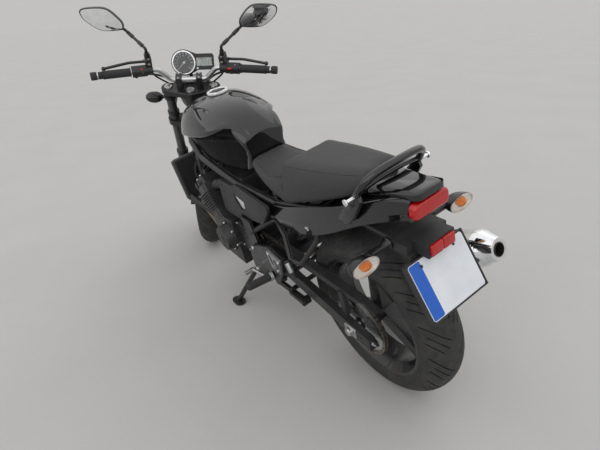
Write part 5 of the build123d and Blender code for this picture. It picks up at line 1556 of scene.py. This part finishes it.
class MOTORCYCLE_OT_running_gear(Operator):
    """Discs' holes in painted shade and rivets, fork seals, axle nuts, adjusters, calipers' bolts
    and spring
    """

    bl_idname = "motorcycle.running_gear"
    bl_label = "Running gear"

    def execute(self, context):
        # rows of holes on each disc face, drawn as thin black discs in painted shade, and the
        # outer faces that also carry rivets
        for end, rows, outer, inner in (
            ("front", (145, 132), (66.4, -66.4), (61.4, -61.4)),
            ("rear", (102, 90), (-94.4,), (-89.4,)),
        ):
            holes, rivets = forms(2)
            centre_x, _, centre_z = AXLES[end]
            for y in outer + inner:
                side = 1 if y > 0 else -1
                out = side if y in outer else -side
                for row, radius in enumerate(rows):
                    for x, z in ring_of(24, radius, row * tau / 48):
                        peg(holes, 3.3, 0.35, side_frame(centre_x + x, y, centre_z + z, out),
                            steps=10)
                if y in outer:
                    for x, z in ring_of(8, rows[1] - 15, 0.2):
                        turned(rivets, [(0, 1.4), (6.5, 1.4), (7.6, 0), (7.6, -1)],
                               side_frame(centre_x + x, y, centre_z + z, side), 16)
            piece(f"{end}_disc_hole_shade", holes, "dark_hole", f"{end}_wheel")
            piece(f"{end}_disc_rivets", rivets, "plated_steel", f"{end}_wheel")
        bolts, seals, fittings, spring = forms(4)
        for side in SIDES:
            turned(seals, [(28.3, 640), (29.6, 642), (29.6, 656), (28.6, 660), (24.6, 668),
                           (22, 670)], moved(FORK_X, FORK_Y * side, 0), 40)
            for z in (400, 412, 392):
                screw(bolts, (FORK_X - 102, 92.4 * side, z), (0, side, 0), 4.6, 3.2, "socket")
            for z in (851, 1033):
                screw(bolts, (FORK_X - 27, 100 * side, z), (-1, 0, 0), 5, 3.4, "socket")
        piece("fork_seals", seals, "hose_sheath", "steering")
        piece("caliper_bolts", bolts, "plated_steel", "steering")
        for side in SIDES:
            pressed(fittings, rounded(56, 40, 6), 5, side_frame(-735, 143.2 * side, 312, side),
                    rounding=1.2)
            peg(fittings, 14.5, 12, side_frame(-735, 149 * side, 312, side), steps=6,
                rounding=1.4)
            screw(fittings, (-821, 130 * side, 301), (-1, 0, 0), 7, 6)
            peg(fittings, 4, 16, facing((-822, 130 * side, 301), (-1, 0, 0)), steps=14)
            screw(fittings, (-170, 165 * side, 395), (0, side, 0), 11, 7)
        piece("axle_fittings", fittings, "plated_steel")
        # suspension spring of seven coils
        top, foot = Vector((-150, 0, 600)), Vector((-286, 0, 391))
        line = facing(top, foot - top)
        rise = ((foot - top).length - 94) / 70
        points = [
            line @ Vector((40 * cos(tau * k / 10), 40 * sin(tau * k / 10), 38 + rise * k))
            for k in range(71)
        ]
        tube(spring, points, 6.5, steps=14, smooth=4)
        piece("shock_spring", spring, "spring_enamel")
        return {"FINISHED"}


# Stage


class StageSettings(PropertyGroup):
    """Sizes and light of the studio."""

    floor_size: FloatProperty(
        name="Floor size", description="Side of the square floor", default=120.0, min=5.0,
        unit="LENGTH",
    )
    floor_colour: FloatVectorProperty(
        name="Floor colour", description="Colour of the pale floor", subtype="COLOR", size=3,
        default=(0.5, 0.49, 0.475), min=0, max=1,
    )
    lamp_power: FloatProperty(
        name="Light", description="Strength of the soft light overhead", default=1.5, min=0,
    )


class MOTORCYCLE_OT_stage(Operator):
    """Floor, soft lamps, pale surroundings and the camera"""

    bl_idname = "motorcycle.stage"
    bl_label = "Stage"

    def execute(self, context):
        scene = context.scene
        chosen = scene.motorcycle_stage
        base = tuple(chosen.floor_colour)
        form = bmesh.new()
        bmesh.ops.create_grid(form, x_segments=1, y_segments=1, size=chosen.floor_size / 2)
        floor = linked("floor", kept(form))
        material, tree, shader = surface("pale_floor", base, 0.85)
        cloud = spread(tree, noisy(tree, 1.7, 5))
        fed(tree, shader, blended(tree, cloud, base, tuple(c * 0.965 for c in base)))
        relief(tree, shader, noisy(tree, 140, 4), 0.5)
        floor.data.materials.append(material)

        for name, way, wide, power in (
            ("high_light", (-0.25, 0.35, 1), 165, 1),
            ("left_light", (-0.9, 1.3, 0.9), 70, 0.35),
            ("right_light", (0.4, -1.4, 0.8), 70, 0.25),
        ):
            lamp = bpy.data.lights.new(name, "SUN")
            lamp.angle = radians(wide)
            lamp.energy = chosen.lamp_power * power
            linked(name, lamp).matrix_world = facing(Vector(way) * 4, way)

        world = bpy.data.worlds.new("surroundings")
        scene.world = world
        world.use_nodes = True
        tree = world.node_tree
        place = tree.nodes.new("ShaderNodeTexCoord").outputs["Generated"]
        height = added(tree, "ShaderNodeSeparateXYZ", Vector=place).outputs["Z"]
        glow = blended(
            tree, ranged(tree, height, -0.1, 0.9), (0.16, 0.16, 0.165), (0.5, 0.51, 0.53))
        seen = tree.nodes.new("ShaderNodeLightPath")
        shown = seen.outputs["Is Camera Ray"]
        for ray in ("Is Glossy Ray", "Is Transmission Ray"):
            shown = combined(tree, "MAXIMUM", shown, seen.outputs[ray])
        # the floor's colour as the lamps show it at the horizon
        far = tuple(c * k for c, k in zip(base, (1.077, 1.087, 1.105)))
        light = tree.nodes["Background"].inputs["Color"]
        tree.links.new(blended(tree, shown, glow, far), light)

        camera = bpy.data.cameras.new("camera")
        camera.sensor_width = 36
        camera.lens = 462.9 * 36 / 600
        camera.clip_end = 200
        turn = Matrix((
            (-0.5638, 0.3293, -0.7575, 0), (-0.7945, -0.4669, 0.3883, 0),
            (-0.2258, 0.8207, 0.5248, 0), (0, 0, 0, 1),
        ))
        at, rotation, _ = (MACHINE @ moved(-1683, 709, 1436) @ turn).decompose()
        scene.camera = linked("camera", camera)
        scene.camera.matrix_world = Matrix.Translation(at) @ rotation.to_matrix().to_4x4()
        scene.view_settings.view_transform = "Standard"
        return {"FINISHED"}


class MOTORCYCLE_OT_finishes(Operator):
    """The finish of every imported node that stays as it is"""

    bl_idname = "motorcycle.finishes"
    bl_label = "Finishes"

    def execute(self, context):
        for name, names in NODE_FINISH.items():
            for node in names.split():
                for place in nodes[node].material_slots:
                    place.material = finish(name)
        return {"FINISHED"}


# Panel and settings


class MOTORCYCLE_PT_pieces(Panel):
    """The machine's pieces and settings"""

    bl_idname = "MOTORCYCLE_PT_pieces"
    bl_label = "Motorcycle"
    bl_space_type = "VIEW_3D"
    bl_region_type = "UI"
    bl_category = "Motorcycle"

    def draw(self, context):
        for name, settings in SETTINGS.items():
            box = self.layout.box()
            chosen = getattr(context.scene, name)
            for prop in settings.__annotations__:
                box.prop(chosen, prop)
        for operator in OPERATORS:
            self.layout.operator(operator.bl_idname)


SETTINGS = {
    "motorcycle_stage": StageSettings,
    "motorcycle_tyres": TyreSettings,
    "motorcycle_seat": SeatSettings,
    "motorcycle_body": BodySettings,
    "motorcycle_lamps": LampSettings,
    "motorcycle_engine": EngineSettings,
}
OPERATORS = [
    MOTORCYCLE_OT_stage, MOTORCYCLE_OT_finishes, MOTORCYCLE_OT_tyres, MOTORCYCLE_OT_seat,
    MOTORCYCLE_OT_chain, MOTORCYCLE_OT_instruments, MOTORCYCLE_OT_controls,
    MOTORCYCLE_OT_mirrors, MOTORCYCLE_OT_tank, MOTORCYCLE_OT_trim, MOTORCYCLE_OT_lamps,
    MOTORCYCLE_OT_exhaust, MOTORCYCLE_OT_engine, MOTORCYCLE_OT_running_gear,
]


def register():
    for settings in SETTINGS.values():
        bpy.utils.register_class(settings)
    for made in (*OPERATORS, MOTORCYCLE_PT_pieces):
        bpy.utils.register_class(made)
    for name, settings in SETTINGS.items():
        setattr(bpy.types.Scene, name, PointerProperty(type=settings))


def unregister():
    for name in SETTINGS:
        delattr(bpy.types.Scene, name)
    for made in (MOTORCYCLE_PT_pieces, *reversed(OPERATORS), *SETTINGS.values()):
        bpy.utils.unregister_class(made)


def main():
    register()
    for operator in OPERATORS:
        group, name = operator.bl_idname.split(".")
        getattr(getattr(bpy.ops, group), name)()


if __name__ == "__main__":
    main()
